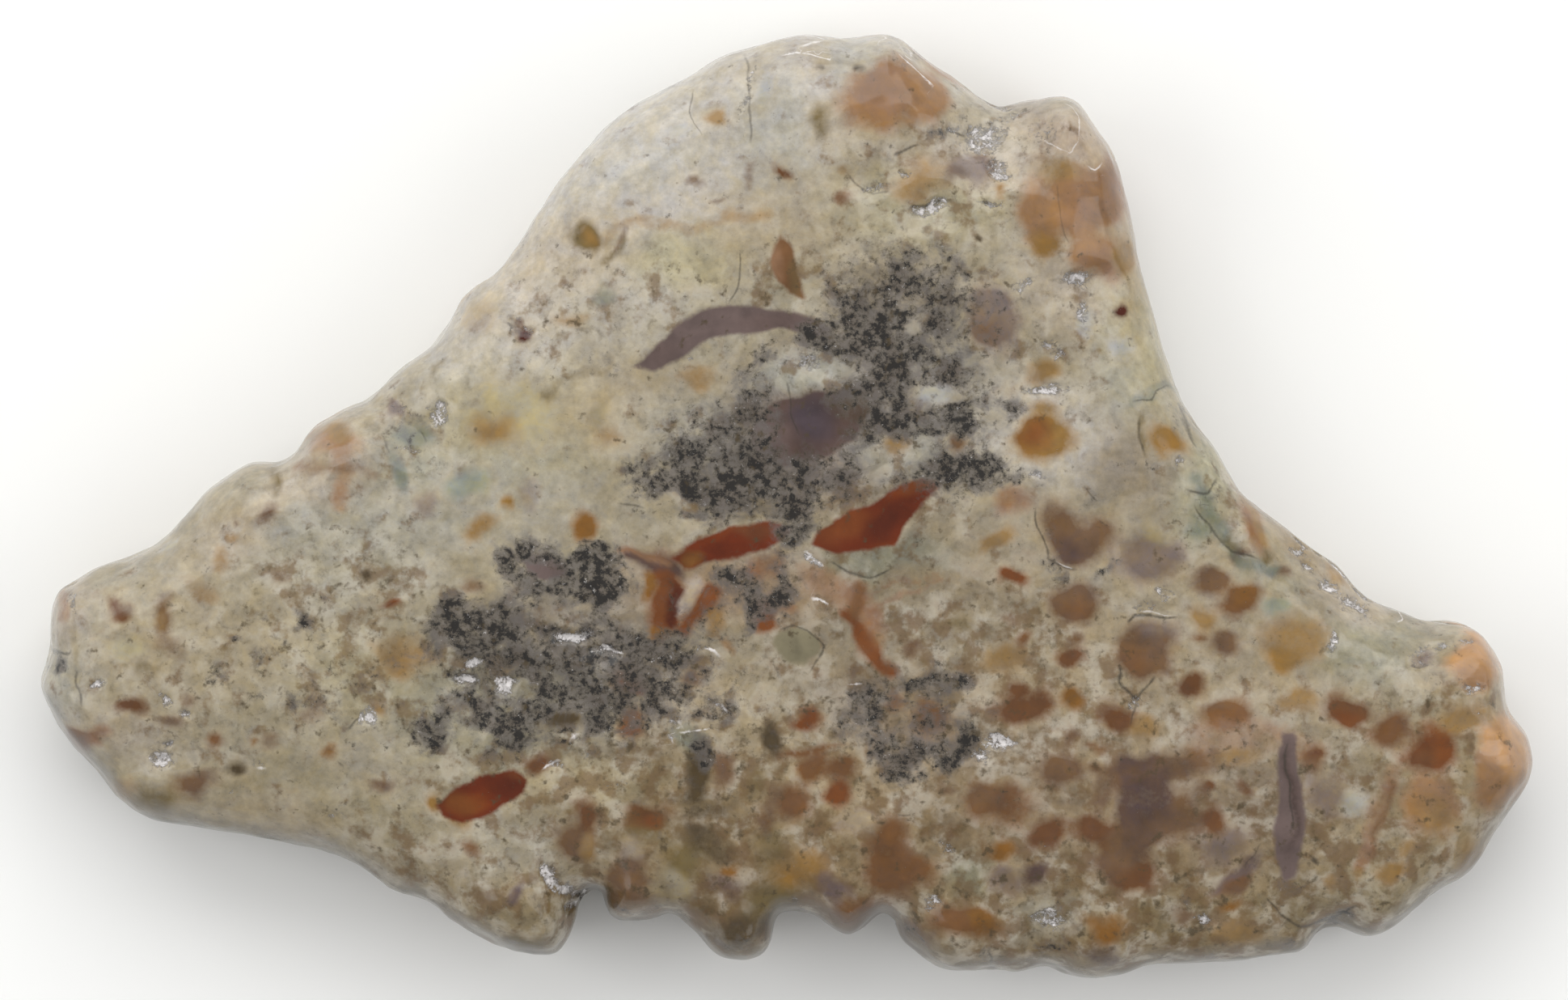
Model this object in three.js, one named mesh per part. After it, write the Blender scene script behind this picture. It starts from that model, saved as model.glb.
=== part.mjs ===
// A tumble-polished slab of agatised dinosaur coprolite, lying on its sawn back with the patterned face up.
// It formed as one piece, so it is one mesh. Millimetres, +Z up, the origin on the surface that it rests on,
// under the middle of the stone, with +X along its length and +Y towards the crest.

import * as THREE from "three";
import { ConvexHull } from "three/addons/math/ConvexHull.js";

// Driving dimensions.
const LENGTH = 95; // from the left nose to the right nose
const GIRTH_HEIGHT = 5.4; // height of the stone's widest line above its back
const FACE_HEIGHT = 12.8; // height of the middle of the polished face above the back
const CROWN = 2.2; // how far the face sinks towards its edge
const CROWN_REACH = 6.5; // the distance from the edge over which most of that happens
const FACE_ROUNDING = 3.0; // width of the rounded edge round the face
const BACK_ROUNDING = 2.6; // width of the rounded edge round the back
const EDGE_FULLNESS = 2.25; // 2 is an elliptical edge, more is a squarer one

// How the girth rises and falls round the stone: the height of each swing, how many fit round, and the phase.
const GIRTH_SWINGS = [
  { height: 0.55, count: 3, phase: 0.7 },
  { height: 0.4, count: 8, phase: 2.1 },
  { height: 0.25, count: 17, phase: 4 },
];

// Slow waves of the polished face: the height and length of each, its heading in degrees, and the phase.
const FACE_WAVES = [
  { height: 0.18, wavelength: 34, heading: 20, phase: 0.8 },
  { height: 0.15, wavelength: 21, heading: 105, phase: 2 },
  { height: 0.1, wavelength: 12.5, heading: 50, phase: 4.1 },
];

// How finely the solid is faceted: steps along the rim, rings inside it, and triangles within the rings.
const RIM_STEP = 1;
const FINE_RIM_STEP = 0.68;
const FINE_STRETCHES = ["lowerScallops", "lowerTeeth"];
const SAMPLES_PER_POINT = 14;
const FACE_RINGS = [0.1, 0.36, 0.8, 1.3];
const BACK_RINGS = [0.1, 0.36, 0.85];
const FACE_SPACING = 1.38;
const BACK_SPACING = 1.7;
const FLAT_MARGIN = 0.6; // how far inside the flat of the back the triangles start to be larger
const WALK_STEP = 0.2;
const WALK_LIMIT = 40;
const WALK_TOLERANCE = 0.001;
const LEAST_GAIN = 0.65; // a walk stops where a step gains less distance than this share of its length
const SIDE_CLEARANCE = 0.62; // of a point within a ring from the ring's nearest side, as a share of that side
const RING_CLEARANCE = 0.55; // and as a share of the spacing of the points

const OVAL_FULLNESS = 2.6; // of a lump's or hollow's outline: 2 is a bell, more is flatter in the middle

// The outline, in pixels of the photograph, clockwise from the left nose.
const OUTLINE_PX = {
  leftNose: [
    [47, 845], [50, 833], [57, 821], [61, 805], [62, 780], [65, 747], [71, 731], [82, 721], [100, 714],
  ],
  leftSlope: [
    [113, 702], [138, 693], [160, 688], [190, 674], [207, 662], [222, 646], [259, 603], [283, 587],
    [300, 575], [315, 570], [330, 570], [345, 573], [356, 570], [364, 561], [374, 543], [388, 528],
    [406, 515], [431, 503], [458, 492], [475, 474], [501, 451], [520, 437], [538, 423], [549, 408],
    [573, 367], [584, 356], [602, 346], [618, 333], [643, 300], [667, 259], [690, 226],
  ],
  crest: [
    [730, 178], [756, 150], [780, 133], [831, 104], [851, 95], [876, 78], [897, 67], [934, 57],
    [956, 49], [979, 44], [1001, 42], [1017, 43], [1032, 47], [1055, 46.5], [1084, 43], [1101, 41],
    [1111, 45], [1120, 53],
  ],
  saddle: [
    [1160, 83], [1186, 98], [1202, 112], [1220, 124], [1231, 130], [1243, 131.5], [1258, 126],
    [1281, 122],
  ],
  upperKnob: [
    [1301, 119], [1315, 118], [1328, 121], [1339, 133], [1349, 149], [1354, 159.5], [1365, 169],
    [1376, 187], [1383, 204], [1390, 231],
  ],
  rightFlank: [
    [1403, 295], [1409, 329], [1418, 361], [1441, 438], [1452, 473], [1461, 494], [1475, 518],
    [1505, 560], [1533, 605], [1545, 619.5], [1561, 631], [1599, 658.5], [1640, 690], [1652, 697],
    [1664, 710], [1674, 724], [1684, 735], [1700, 744], [1722, 751], [1742, 759], [1757, 766],
    [1770, 767],
  ],
  rightNose: [
    [1795, 766], [1808, 768.5], [1823, 775.5], [1836, 789], [1848, 806], [1856, 822], [1859.5, 842],
    [1861.5, 865], [1864, 880], [1875, 891], [1886, 905], [1893, 921], [1897, 940], [1894, 957],
    [1885, 976], [1850, 1026], [1830, 1062], [1816, 1078.5], [1802, 1090],
  ],
  lowerRight: [
    [1785, 1096], [1775, 1101], [1748, 1127], [1731, 1141], [1711, 1152.5], [1692, 1160], [1678, 1155],
    [1660, 1147], [1645, 1143.5], [1631, 1148], [1624.5, 1158], [1619, 1170.5], [1613, 1177],
    [1600, 1179.5], [1580, 1180], [1555, 1184.5], [1530, 1188], [1470, 1190], [1418, 1192],
  ],
  lowerScallops: [
    [1400, 1200], [1380, 1206.5], [1346, 1210], [1328, 1208], [1312, 1202], [1301, 1195], [1292, 1193],
    [1282, 1195.5], [1268, 1200], [1252, 1201], [1236, 1199], [1222, 1196], [1212, 1200], [1200, 1201],
    [1180, 1200], [1161, 1195.5], [1147, 1188.5], [1128, 1171], [1117, 1164], [1111, 1156],
    [1108, 1147], [1107, 1137], [1100, 1131],
  ],
  lowerTeeth: [
    [1091.5, 1127], [1080.5, 1134], [1070, 1145], [1060, 1153], [1049.5, 1156], [1038.5, 1153],
    [1025.5, 1144], [1010, 1132], [999.5, 1127], [986.5, 1125], [962, 1128], [959, 1133.5],
    [956.5, 1146], [954.5, 1159], [950.5, 1171], [941.5, 1180], [932.5, 1184.5], [917, 1185.5],
    [899.5, 1184.5], [885.5, 1179], [878, 1172], [869.5, 1160], [861, 1151], [849, 1142.5],
    [838, 1132], [830, 1126], [820.5, 1131], [806, 1135], [785, 1137], [769, 1137], [757, 1134],
    [751, 1127], [747.5, 1115], [744.5, 1103.5], [739.5, 1096.5], [731.5, 1099.5], [723, 1107.5],
    [716.5, 1116.5], [715, 1127], [712, 1140.5], [706, 1156], [700, 1167.5], [690, 1177],
  ],
  lowerLeft: [
    [677, 1180], [657, 1179], [640, 1176], [622, 1172], [600, 1161], [560, 1139], [547.5, 1128.5],
    [537.5, 1118.5], [530, 1113.5], [515.5, 1108], [487, 1100], [475.5, 1092.5], [462, 1081],
    [444, 1069], [420, 1057], [400, 1050], [369, 1045], [340, 1039.5], [300, 1032], [270, 1028],
    [247, 1023], [228, 1018], [212, 1018], [199.5, 1016], [180.5, 1010], [161.5, 1000], [146.5, 987],
    [135, 971.5], [120, 951.5], [110, 942], [97.5, 931], [84, 914], [58, 872.5], [50.5, 858],
  ],
};

// What swells out of the face and what is worn into it: the middle and the half-widths in pixels of the
// photograph, the turn in degrees anticlockwise, and the height in millimetres, negative for a hollow.
const RELIEF = [
  { name: "knob on the upper corner", at: [1326, 158], half: [30, 40], turn: -12, height: 1.5 },
  { name: "bead under the knob", at: [1352, 205], half: [20, 15], turn: 0, height: 0.5 },
  { name: "swelling of the right shoulder", at: [1330, 285], half: [75, 62], turn: 0, height: 0.7 },
  { name: "lip on the crest", at: [1105, 72], half: [34, 22], turn: -35, height: 0.9 },
  { name: "brown swelling behind the crest", at: [1110, 130], half: [70, 48], turn: -15, height: 0.5 },
  { name: "upper knob of the right nose", at: [1830, 822], half: [34, 42], turn: -15, height: 1.3 },
  { name: "lower knob of the right nose", at: [1858, 940], half: [44, 58], turn: 8, height: 1.4 },
  { name: "swelling behind the flank", at: [1538, 640], half: [28, 46], turn: 18, height: 0.9 },
  { name: "left nose", at: [98, 860], half: [55, 60], turn: 0, height: 0.6 },
  { name: "upper left nose", at: [88, 752], half: [30, 36], turn: 0, height: 0.5 },
  { name: "knob of the left slope", at: [415, 560], half: [60, 52], turn: 0, height: 0.9 },
  { name: "low swelling of the left slope", at: [330, 620], half: [46, 40], turn: 0, height: 0.4 },
  { name: "lower left lobe", at: [640, 1130], half: [64, 52], turn: -20, height: 0.9 },
  { name: "first tooth", at: [782, 1100], half: [34, 30], turn: 0, height: 0.6 },
  { name: "second tooth", at: [915, 1140], half: [40, 42], turn: 0, height: 0.6 },
  { name: "third tooth", at: [1048, 1125], half: [26, 28], turn: 0, height: 0.6 },
  { name: "first scallop", at: [1180, 1160], half: [40, 36], turn: 0, height: 0.6 },
  { name: "second scallop", at: [1254, 1170], half: [28, 28], turn: 0, height: 0.5 },
  { name: "third scallop", at: [1346, 1165], half: [50, 40], turn: 0, height: 0.7 },
  { name: "last scallop", at: [1700, 1115], half: [52, 40], turn: 35, height: 0.7 },
  { name: "crusted hollow under the saddle", at: [1215, 182], half: [62, 38], turn: 10, height: -1.5 },
  { name: "groove left of the knob", at: [1272, 160], half: [30, 22], turn: 60, height: -0.6 },
  { name: "slot below the crest", at: [1152, 266], half: [38, 17], turn: 4, height: -0.9 },
  { name: "pit below the crest", at: [1112, 200], half: [28, 18], turn: 40, height: -0.9 },
  { name: "pit left of the slot", at: [1065, 232], half: [28, 16], turn: 12, height: -0.7 },
  { name: "hollow of the right shoulder", at: [1345, 362], half: [40, 24], turn: -15, height: -0.8 },
  { name: "hollow above the ringed spot", at: [1300, 470], half: [30, 34], turn: 0, height: -0.7 },
  { name: "crystal hollow of the left slope", at: [520, 530], half: [50, 36], turn: -20, height: -0.9 },
  { name: "crystal pocket of the left middle", at: [598, 838], half: [52, 30], turn: 0, height: -0.7 },
  { name: "crystal pocket of the middle", at: [738, 795], half: [54, 22], turn: -18, height: -0.7 },
  { name: "crystal pocket of the lower middle", at: [1205, 915], half: [40, 28], turn: 0, height: -0.6 },
  { name: "pocket at the first notch", at: [700, 1078], half: [36, 26], turn: -35, height: -1.0 },
  { name: "pocket between the scallops", at: [1285, 1130], half: [34, 22], turn: 0, height: -0.8 },
  { name: "pocket above the last notch", at: [1655, 1120], half: [34, 22], turn: 30, height: -0.8 },
  { name: "pocket of the lower right", at: [1470, 1140], half: [30, 20], turn: 0, height: -0.6 },
  { name: "split in the left nose", at: [85, 828], half: [40, 15], turn: -8, height: -0.8 },
  { name: "pocket of the left nose", at: [215, 925], half: [44, 22], turn: 10, height: -0.7 },
  { name: "hollow under the right slope", at: [1768, 812], half: [40, 24], turn: -8, height: -0.7 },
];

// Where tumbling has worn the edge back into a wide bevel: the middle and half-widths in pixels, and the
// width in millimetres that it adds to the rounded edge.
const BEVELS = [
  { name: "bevel of the right slope", at: [1690, 712], half: [120, 62], turn: -30, width: 5.5 },
  { name: "bevel of the saddle", at: [1205, 92], half: [85, 40], turn: -32, width: 2.6 },
];

const outlinePx = Object.values(OUTLINE_PX).flat();
const stoneInPhoto = new THREE.Box2().setFromPoints(outlinePx.map(([x, y]) => new THREE.Vector2(x, y)));
const middlePx = stoneInPhoto.getCenter(new THREE.Vector2());
const mmPerPx = LENGTH / (stoneInPhoto.max.x - stoneInPhoto.min.x);

// A place of the photograph as a point of the stone, in millimetres from its middle.
function toStone([x, y]) {
  return new THREE.Vector2((x - middlePx.x) * mmPerPx, (middlePx.y - y) * mmPerPx);
}

const outline = outlinePx.map(toStone).map(({ x, y }) => new THREE.Vector3(x, y, 0));
const rimCurve = new THREE.CatmullRomCurve3(outline, true, "centripetal");
const sampleCount = outline.length * SAMPLES_PER_POINT;
rimCurve.arcLengthDivisions = sampleCount;
const rimLength = rimCurve.getLength();
const sampleLength = rimLength / sampleCount;
const rimSamples = rimCurve.getSpacedPoints(sampleCount).slice(1);

// Points along the rim, closer together where it runs in and out of the notches.
function spaceRim() {
  const reached = rimCurve.getLengths();
  const points = [];
  let first = 0;
  for (const [stretch, places] of Object.entries(OUTLINE_PX)) {
    const start = reached[first * SAMPLES_PER_POINT];
    first += places.length;
    const length = reached[first * SAMPLES_PER_POINT] - start;
    const steps = Math.round(length / (FINE_STRETCHES.includes(stretch) ? FINE_RIM_STEP : RIM_STEP));
    for (let i = 0; i < steps; i++) {
      const { x, y } = rimCurve.getPointAt((start + (length * i) / steps) / rimLength);
      points.push(new THREE.Vector2(x, y));
    }
  }
  return points;
}

const rimPoints = spaceRim();

// The inverse fourth powers of the distances to the rim, summed along it, give a smooth distance from the
// rim and, by their slope, the way straight in. For a straight rim the sum is this number over the
// distance cubed.
const STRAIGHT_RIM_SUM = Math.PI / 2;
const ON_THE_RIM = 1e-9; // keeps the sum finite at a point of the rim itself

function fromRim(x, y) {
  let sum = 0;
  const inwards = new THREE.Vector2();
  for (const q of rimSamples) {
    const dx = x - q.x;
    const dy = y - q.y;
    const squared = dx * dx + dy * dy + ON_THE_RIM;
    const share = sampleLength / (squared * squared);
    sum += share;
    inwards.x += (dx * share) / squared;
    inwards.y += (dy * share) / squared;
  }
  return { distance: Math.cbrt(STRAIGHT_RIM_SUM / sum), inwards: inwards.normalize() };
}

// 1 in the middle of a turned oval, falling smoothly to nothing a little outside its edge.
function ovalShare({ at, half, turn }, x, y) {
  const middle = toStone(at);
  const a = THREE.MathUtils.degToRad(turn);
  const along = (x - middle.x) * Math.cos(a) + (y - middle.y) * Math.sin(a);
  const across = (y - middle.y) * Math.cos(a) - (x - middle.x) * Math.sin(a);
  const r = Math.hypot(along / (half[0] * mmPerPx), across / (half[1] * mmPerPx));
  return Math.exp(-(r ** OVAL_FULLNESS));
}

// How far an edge has risen, as a share of its full height, at a distance from the rim.
function edgeShare(distance, rounding) {
  const left = Math.max(0, 1 - distance / rounding);
  return (1 - left ** EDGE_FULLNESS) ** (1 / EDGE_FULLNESS);
}

function girthHeight(x, y) {
  const around = Math.atan2(y, x);
  const swings = GIRTH_SWINGS.map(({ height, count, phase }) => height * Math.sin(count * around + phase));
  return swings.reduce((sum, swing) => sum + swing, GIRTH_HEIGHT);
}

function faceWave({ height, wavelength, heading, phase }, x, y) {
  const a = THREE.MathUtils.degToRad(heading);
  return height * Math.sin((2 * Math.PI * (x * Math.cos(a) + y * Math.sin(a))) / wavelength + phase);
}

function faceHeight(x, y, distance) {
  const rounding = BEVELS.reduce((sum, bevel) => sum + bevel.width * ovalShare(bevel, x, y), FACE_ROUNDING);
  const waves = FACE_WAVES.reduce((sum, wave) => sum + faceWave(wave, x, y), 0);
  const relief = RELIEF.reduce((sum, form) => sum + form.height * ovalShare(form, x, y), 0);
  const face = FACE_HEIGHT - CROWN * Math.exp(-distance / CROWN_REACH) + waves + relief;
  const girth = girthHeight(x, y);
  return girth + (face - girth) * edgeShare(distance, rounding);
}

function backHeight(x, y, distance) {
  return girthHeight(x, y) * (1 - edgeShare(distance, BACK_ROUNDING));
}

// The rim points moved in until each is at every inset in turn: one ring of points for each inset. In a lobe
// too narrow for an inset, the points stop on both sides of its middle line.
function ringsAt(insets) {
  const rings = insets.map(() => []);
  rimPoints.forEach((rimPoint, i) => {
    const ahead = rimPoints[(i + 1) % rimPoints.length];
    const behind = rimPoints.at(i - 1);
    const straightIn = new THREE.Vector2(ahead.y - behind.y, behind.x - ahead.x).normalize();
    const p = rimPoint.clone().addScaledVector(straightIn, insets[0] / 2);
    insets.forEach((inset, ring) => {
      let here = fromRim(p.x, p.y);
      for (let step = 0; step < WALK_LIMIT && inset - here.distance > WALK_TOLERANCE; step++) {
        const length = Math.min(inset - here.distance, WALK_STEP);
        const next = p.clone().addScaledVector(here.inwards, length);
        const there = fromRim(next.x, next.y);
        if (ring > 0 && there.distance - here.distance < LEAST_GAIN * length) break;
        p.copy(next);
        here = there;
      }
      rings[ring].push(p.clone());
    });
  });
  return rings;
}

function insideRing(ring, x, y) {
  let inside = false;
  ring.forEach((a, i) => {
    const b = ring[(i + 1) % ring.length];
    if (a.y > y !== b.y > y && x < a.x + ((y - a.y) * (b.x - a.x)) / (b.y - a.y)) inside = !inside;
  });
  return inside;
}

// Points on a lattice of equal triangles inside a ring. Those so near a side of the ring that they would
// break it up, when the points are joined into triangles, are left out, and so are three in four of those
// further from the rim than the flat part starts.
function latticeInside(ring, spacing, flatFrom) {
  const sides = ring.map((a, k) => {
    const b = ring[(k + 1) % ring.length];
    const clearance = Math.max(SIDE_CLEARANCE * a.distanceTo(b), RING_CLEARANCE * spacing);
    return { middle: a.clone().add(b).divideScalar(2), clearance };
  });
  const found = [];
  const row = (spacing * Math.sqrt(3)) / 2;
  const reach = Math.ceil(LENGTH / 2 / row);
  for (let j = -reach; j <= reach; j++) {
    for (let i = -reach; i <= reach; i++) {
      const p = new THREE.Vector2((i + j / 2 - Math.floor(j / 2)) * spacing, j * row);
      if (!insideRing(ring, p.x, p.y)) continue;
      if (sides.some(({ middle, clearance }) => p.distanceTo(middle) < clearance)) continue;
      const coarse = j % 2 === 0 && (i - j / 2) % 2 === 0;
      if (coarse || fromRim(p.x, p.y).distance < flatFrom) found.push(p);
    }
  }
  return found;
}

// Joins scattered points into triangles, as corner numbers, anticlockwise seen from above. Lifted onto a
// bowl, the underside of their convex hull is their Delaunay triangulation.
function joinPoints(points) {
  const lifted = points.map((p) => new THREE.Vector3(p.x, p.y, (p.x * p.x + p.y * p.y) / LENGTH));
  const numbers = new Map(lifted.map((p, i) => [p, i]));
  const hull = new ConvexHull().setFromPoints(lifted);
  const triangles = [];
  for (const face of hull.faces) {
    if (face.normal.z >= 0) continue;
    const corners = [];
    let edge = face.edge;
    do {
      corners.push(numbers.get(edge.head().point));
      edge = edge.next;
    } while (edge !== face.edge);
    triangles.push(corners.reverse());
  }
  return triangles;
}

// Adds a point to the mesh and gives its number.
function addPoint(mesh, { x, y }, z) {
  mesh.positions.push(x, y, z);
  return mesh.positions.length / 3 - 1;
}

// One side of the stone, face or back: its rings, stitched together, and the cap inside the last of them.
function addSide(mesh, { insets, spacing, flatFrom, heightAt, facesUp }) {
  const rings = ringsAt(insets);
  const raise = (p) => addPoint(mesh, p, heightAt(p.x, p.y, fromRim(p.x, p.y).distance));
  const addTriangle = (a, b, c) => mesh.corners.push(...(facesUp ? [a, b, c] : [a, c, b]));
  let outer = mesh.rim;
  for (const ring of rings) {
    const inner = ring.map(raise);
    outer.forEach((a, i) => {
      const next = (i + 1) % outer.length;
      addTriangle(a, inner[i], outer[next]);
      addTriangle(outer[next], inner[i], inner[next]);
    });
    outer = inner;
  }
  const last = rings.at(-1);
  const lattice = latticeInside(last, spacing, flatFrom);
  const points = [...last, ...lattice];
  const numbers = [...outer, ...lattice.map(raise)];
  for (const [a, b, c] of joinPoints(points)) {
    const middle = points[a].clone().add(points[b]).add(points[c]).divideScalar(3);
    if (insideRing(last, middle.x, middle.y)) addTriangle(numbers[a], numbers[b], numbers[c]);
  }
}

function stoneGeometry() {
  const mesh = { positions: [], corners: [], rim: [] };
  mesh.rim = rimPoints.map((p) => addPoint(mesh, p, girthHeight(p.x, p.y)));
  addSide(mesh, {
    insets: FACE_RINGS,
    spacing: FACE_SPACING,
    flatFrom: Infinity,
    heightAt: faceHeight,
    facesUp: true,
  });
  addSide(mesh, {
    insets: BACK_RINGS,
    spacing: BACK_SPACING,
    flatFrom: BACK_ROUNDING + FLAT_MARGIN,
    heightAt: backHeight,
    facesUp: false,
  });
  const geometry = new THREE.BufferGeometry();
  geometry.setAttribute("position", new THREE.Float32BufferAttribute(mesh.positions, 3));
  geometry.setIndex(mesh.corners);
  geometry.computeVertexNormals();
  return geometry;
}

const polishedStone = new THREE.MeshStandardMaterial({ color: 0xb3a48f, roughness: 0.25, metalness: 0 });

const coprolite = new THREE.Mesh(stoneGeometry(), polishedStone);
coprolite.name = "coprolite";

const part = new THREE.Group();
part.add(coprolite);

export default part;
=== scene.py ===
import math

import bmesh
import bpy
import numpy as np
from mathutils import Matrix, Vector


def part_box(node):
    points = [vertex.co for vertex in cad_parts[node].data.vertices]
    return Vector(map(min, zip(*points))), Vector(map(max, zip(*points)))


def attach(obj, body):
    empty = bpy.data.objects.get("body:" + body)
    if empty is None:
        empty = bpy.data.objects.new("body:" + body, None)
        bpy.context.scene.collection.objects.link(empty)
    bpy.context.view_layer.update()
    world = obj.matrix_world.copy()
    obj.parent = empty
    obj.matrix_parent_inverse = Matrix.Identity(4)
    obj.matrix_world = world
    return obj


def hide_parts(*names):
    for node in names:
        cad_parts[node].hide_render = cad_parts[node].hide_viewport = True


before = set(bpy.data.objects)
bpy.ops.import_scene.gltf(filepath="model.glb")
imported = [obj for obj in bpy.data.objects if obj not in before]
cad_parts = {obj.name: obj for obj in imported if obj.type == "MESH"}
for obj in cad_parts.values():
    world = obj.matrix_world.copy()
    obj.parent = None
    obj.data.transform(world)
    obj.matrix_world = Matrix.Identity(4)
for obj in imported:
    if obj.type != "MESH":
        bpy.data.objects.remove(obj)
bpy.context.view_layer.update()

bl_info = {
    "name": "Coprolite slab",
    "version": (1, 0, 0),
    "blender": (4, 5, 0),
    "location": "View3D > Sidebar > Coprolite",
    "description": "A tumble-polished slab of agatised dinosaur coprolite on a pale floor",
    "category": "Add Mesh",
}

MM = 0.001
SEED = 68

# The face, where a surface leans less than about 37 degrees, gets the finest mesh, and what looks down the
# coarsest. Slopes are the upward share of a surface's normal.
FACE_SLOPE = 0.8
BEHIND_SLOPE = 0.2
MOST_TRIANGLES = 190000

# The slab is widest this far above the floor, which is where its outline in the photograph lies
WIDEST_LEVEL = 5.4 * MM
FLOOR_GAP = 0.02 * MM

# Share of the slab's height from which marks at the rim go on down the side
FOLD_LEVEL = 0.62

# How much darker the steep sides' rind is, and the painted shade on sides that look towards the lower edge
SIDE_DARKER = 0.08
LOWER_SIDE_PAINTED_SHADE = 0.6

# Share of chalk in the ground's clouds, and how gritty the sawn back is, which no picture shows
CHALK_CLOUDS = 0.15
BACK_GRIT = 0.5
BACK_CELLS = 120
BACK_DARKS = 26

# How much of the waver in the marks' places the lens rims and the cracks take
LENS_WAVER = 0.4
CRACK_WAVER = 0.6

# The photograph's frame, and where the stone's outline stops in it. Marks below are given in its pixels.
PHOTO_WIDTH = 1939
PHOTO_HEIGHT = 1236
OUTLINE_LEFT = 47
OUTLINE_RIGHT = 1897
OUTLINE_TOP = 41
OUTLINE_BOTTOM = 1210

# Shades of the stone as they show in the picture, and what the stage's light makes of a colour on the face:
# the gloss adds its share, and the light multiplies the rest
GLOSS = 0.013
LIGHT = 1.2
SHADES = {
    "chalk": "#CCC5BB",
    "cream": "#B8A78B",
    "butter": "#BCB290",
    "mist": "#ACAAA0",
    "sage": "#959785",
    "fern": "#7E8274",
    "pinkish": "#BEB0A0",
    "sand": "#9E9276",
    "pebble": "#888068",
    "dun": "#A0937D",
    "drab": "#887456",
    "rose": "#927056",
    "lilac": "#86766A",
    "peach": "#BC946C",
    "tan": "#987C54",
    "apricot": "#A07C5A",
    "clay": "#7A583C",
    "ochre": "#967442",
    "amber": "#8A6234",
    "olive": "#746544",
    "umber": "#745B46",
    "chestnut": "#704E36",
    "rust": "#7C4C2E",
    "flame": "#84421F",
    "jasper": "#6E3420",
    "maroon": "#542C22",
    "plum": "#5E4C46",
    "smoke": "#72625E",
    "slate": "#50474E",
    "bark": "#544836",
    "soot": "#2C2824",
}

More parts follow.
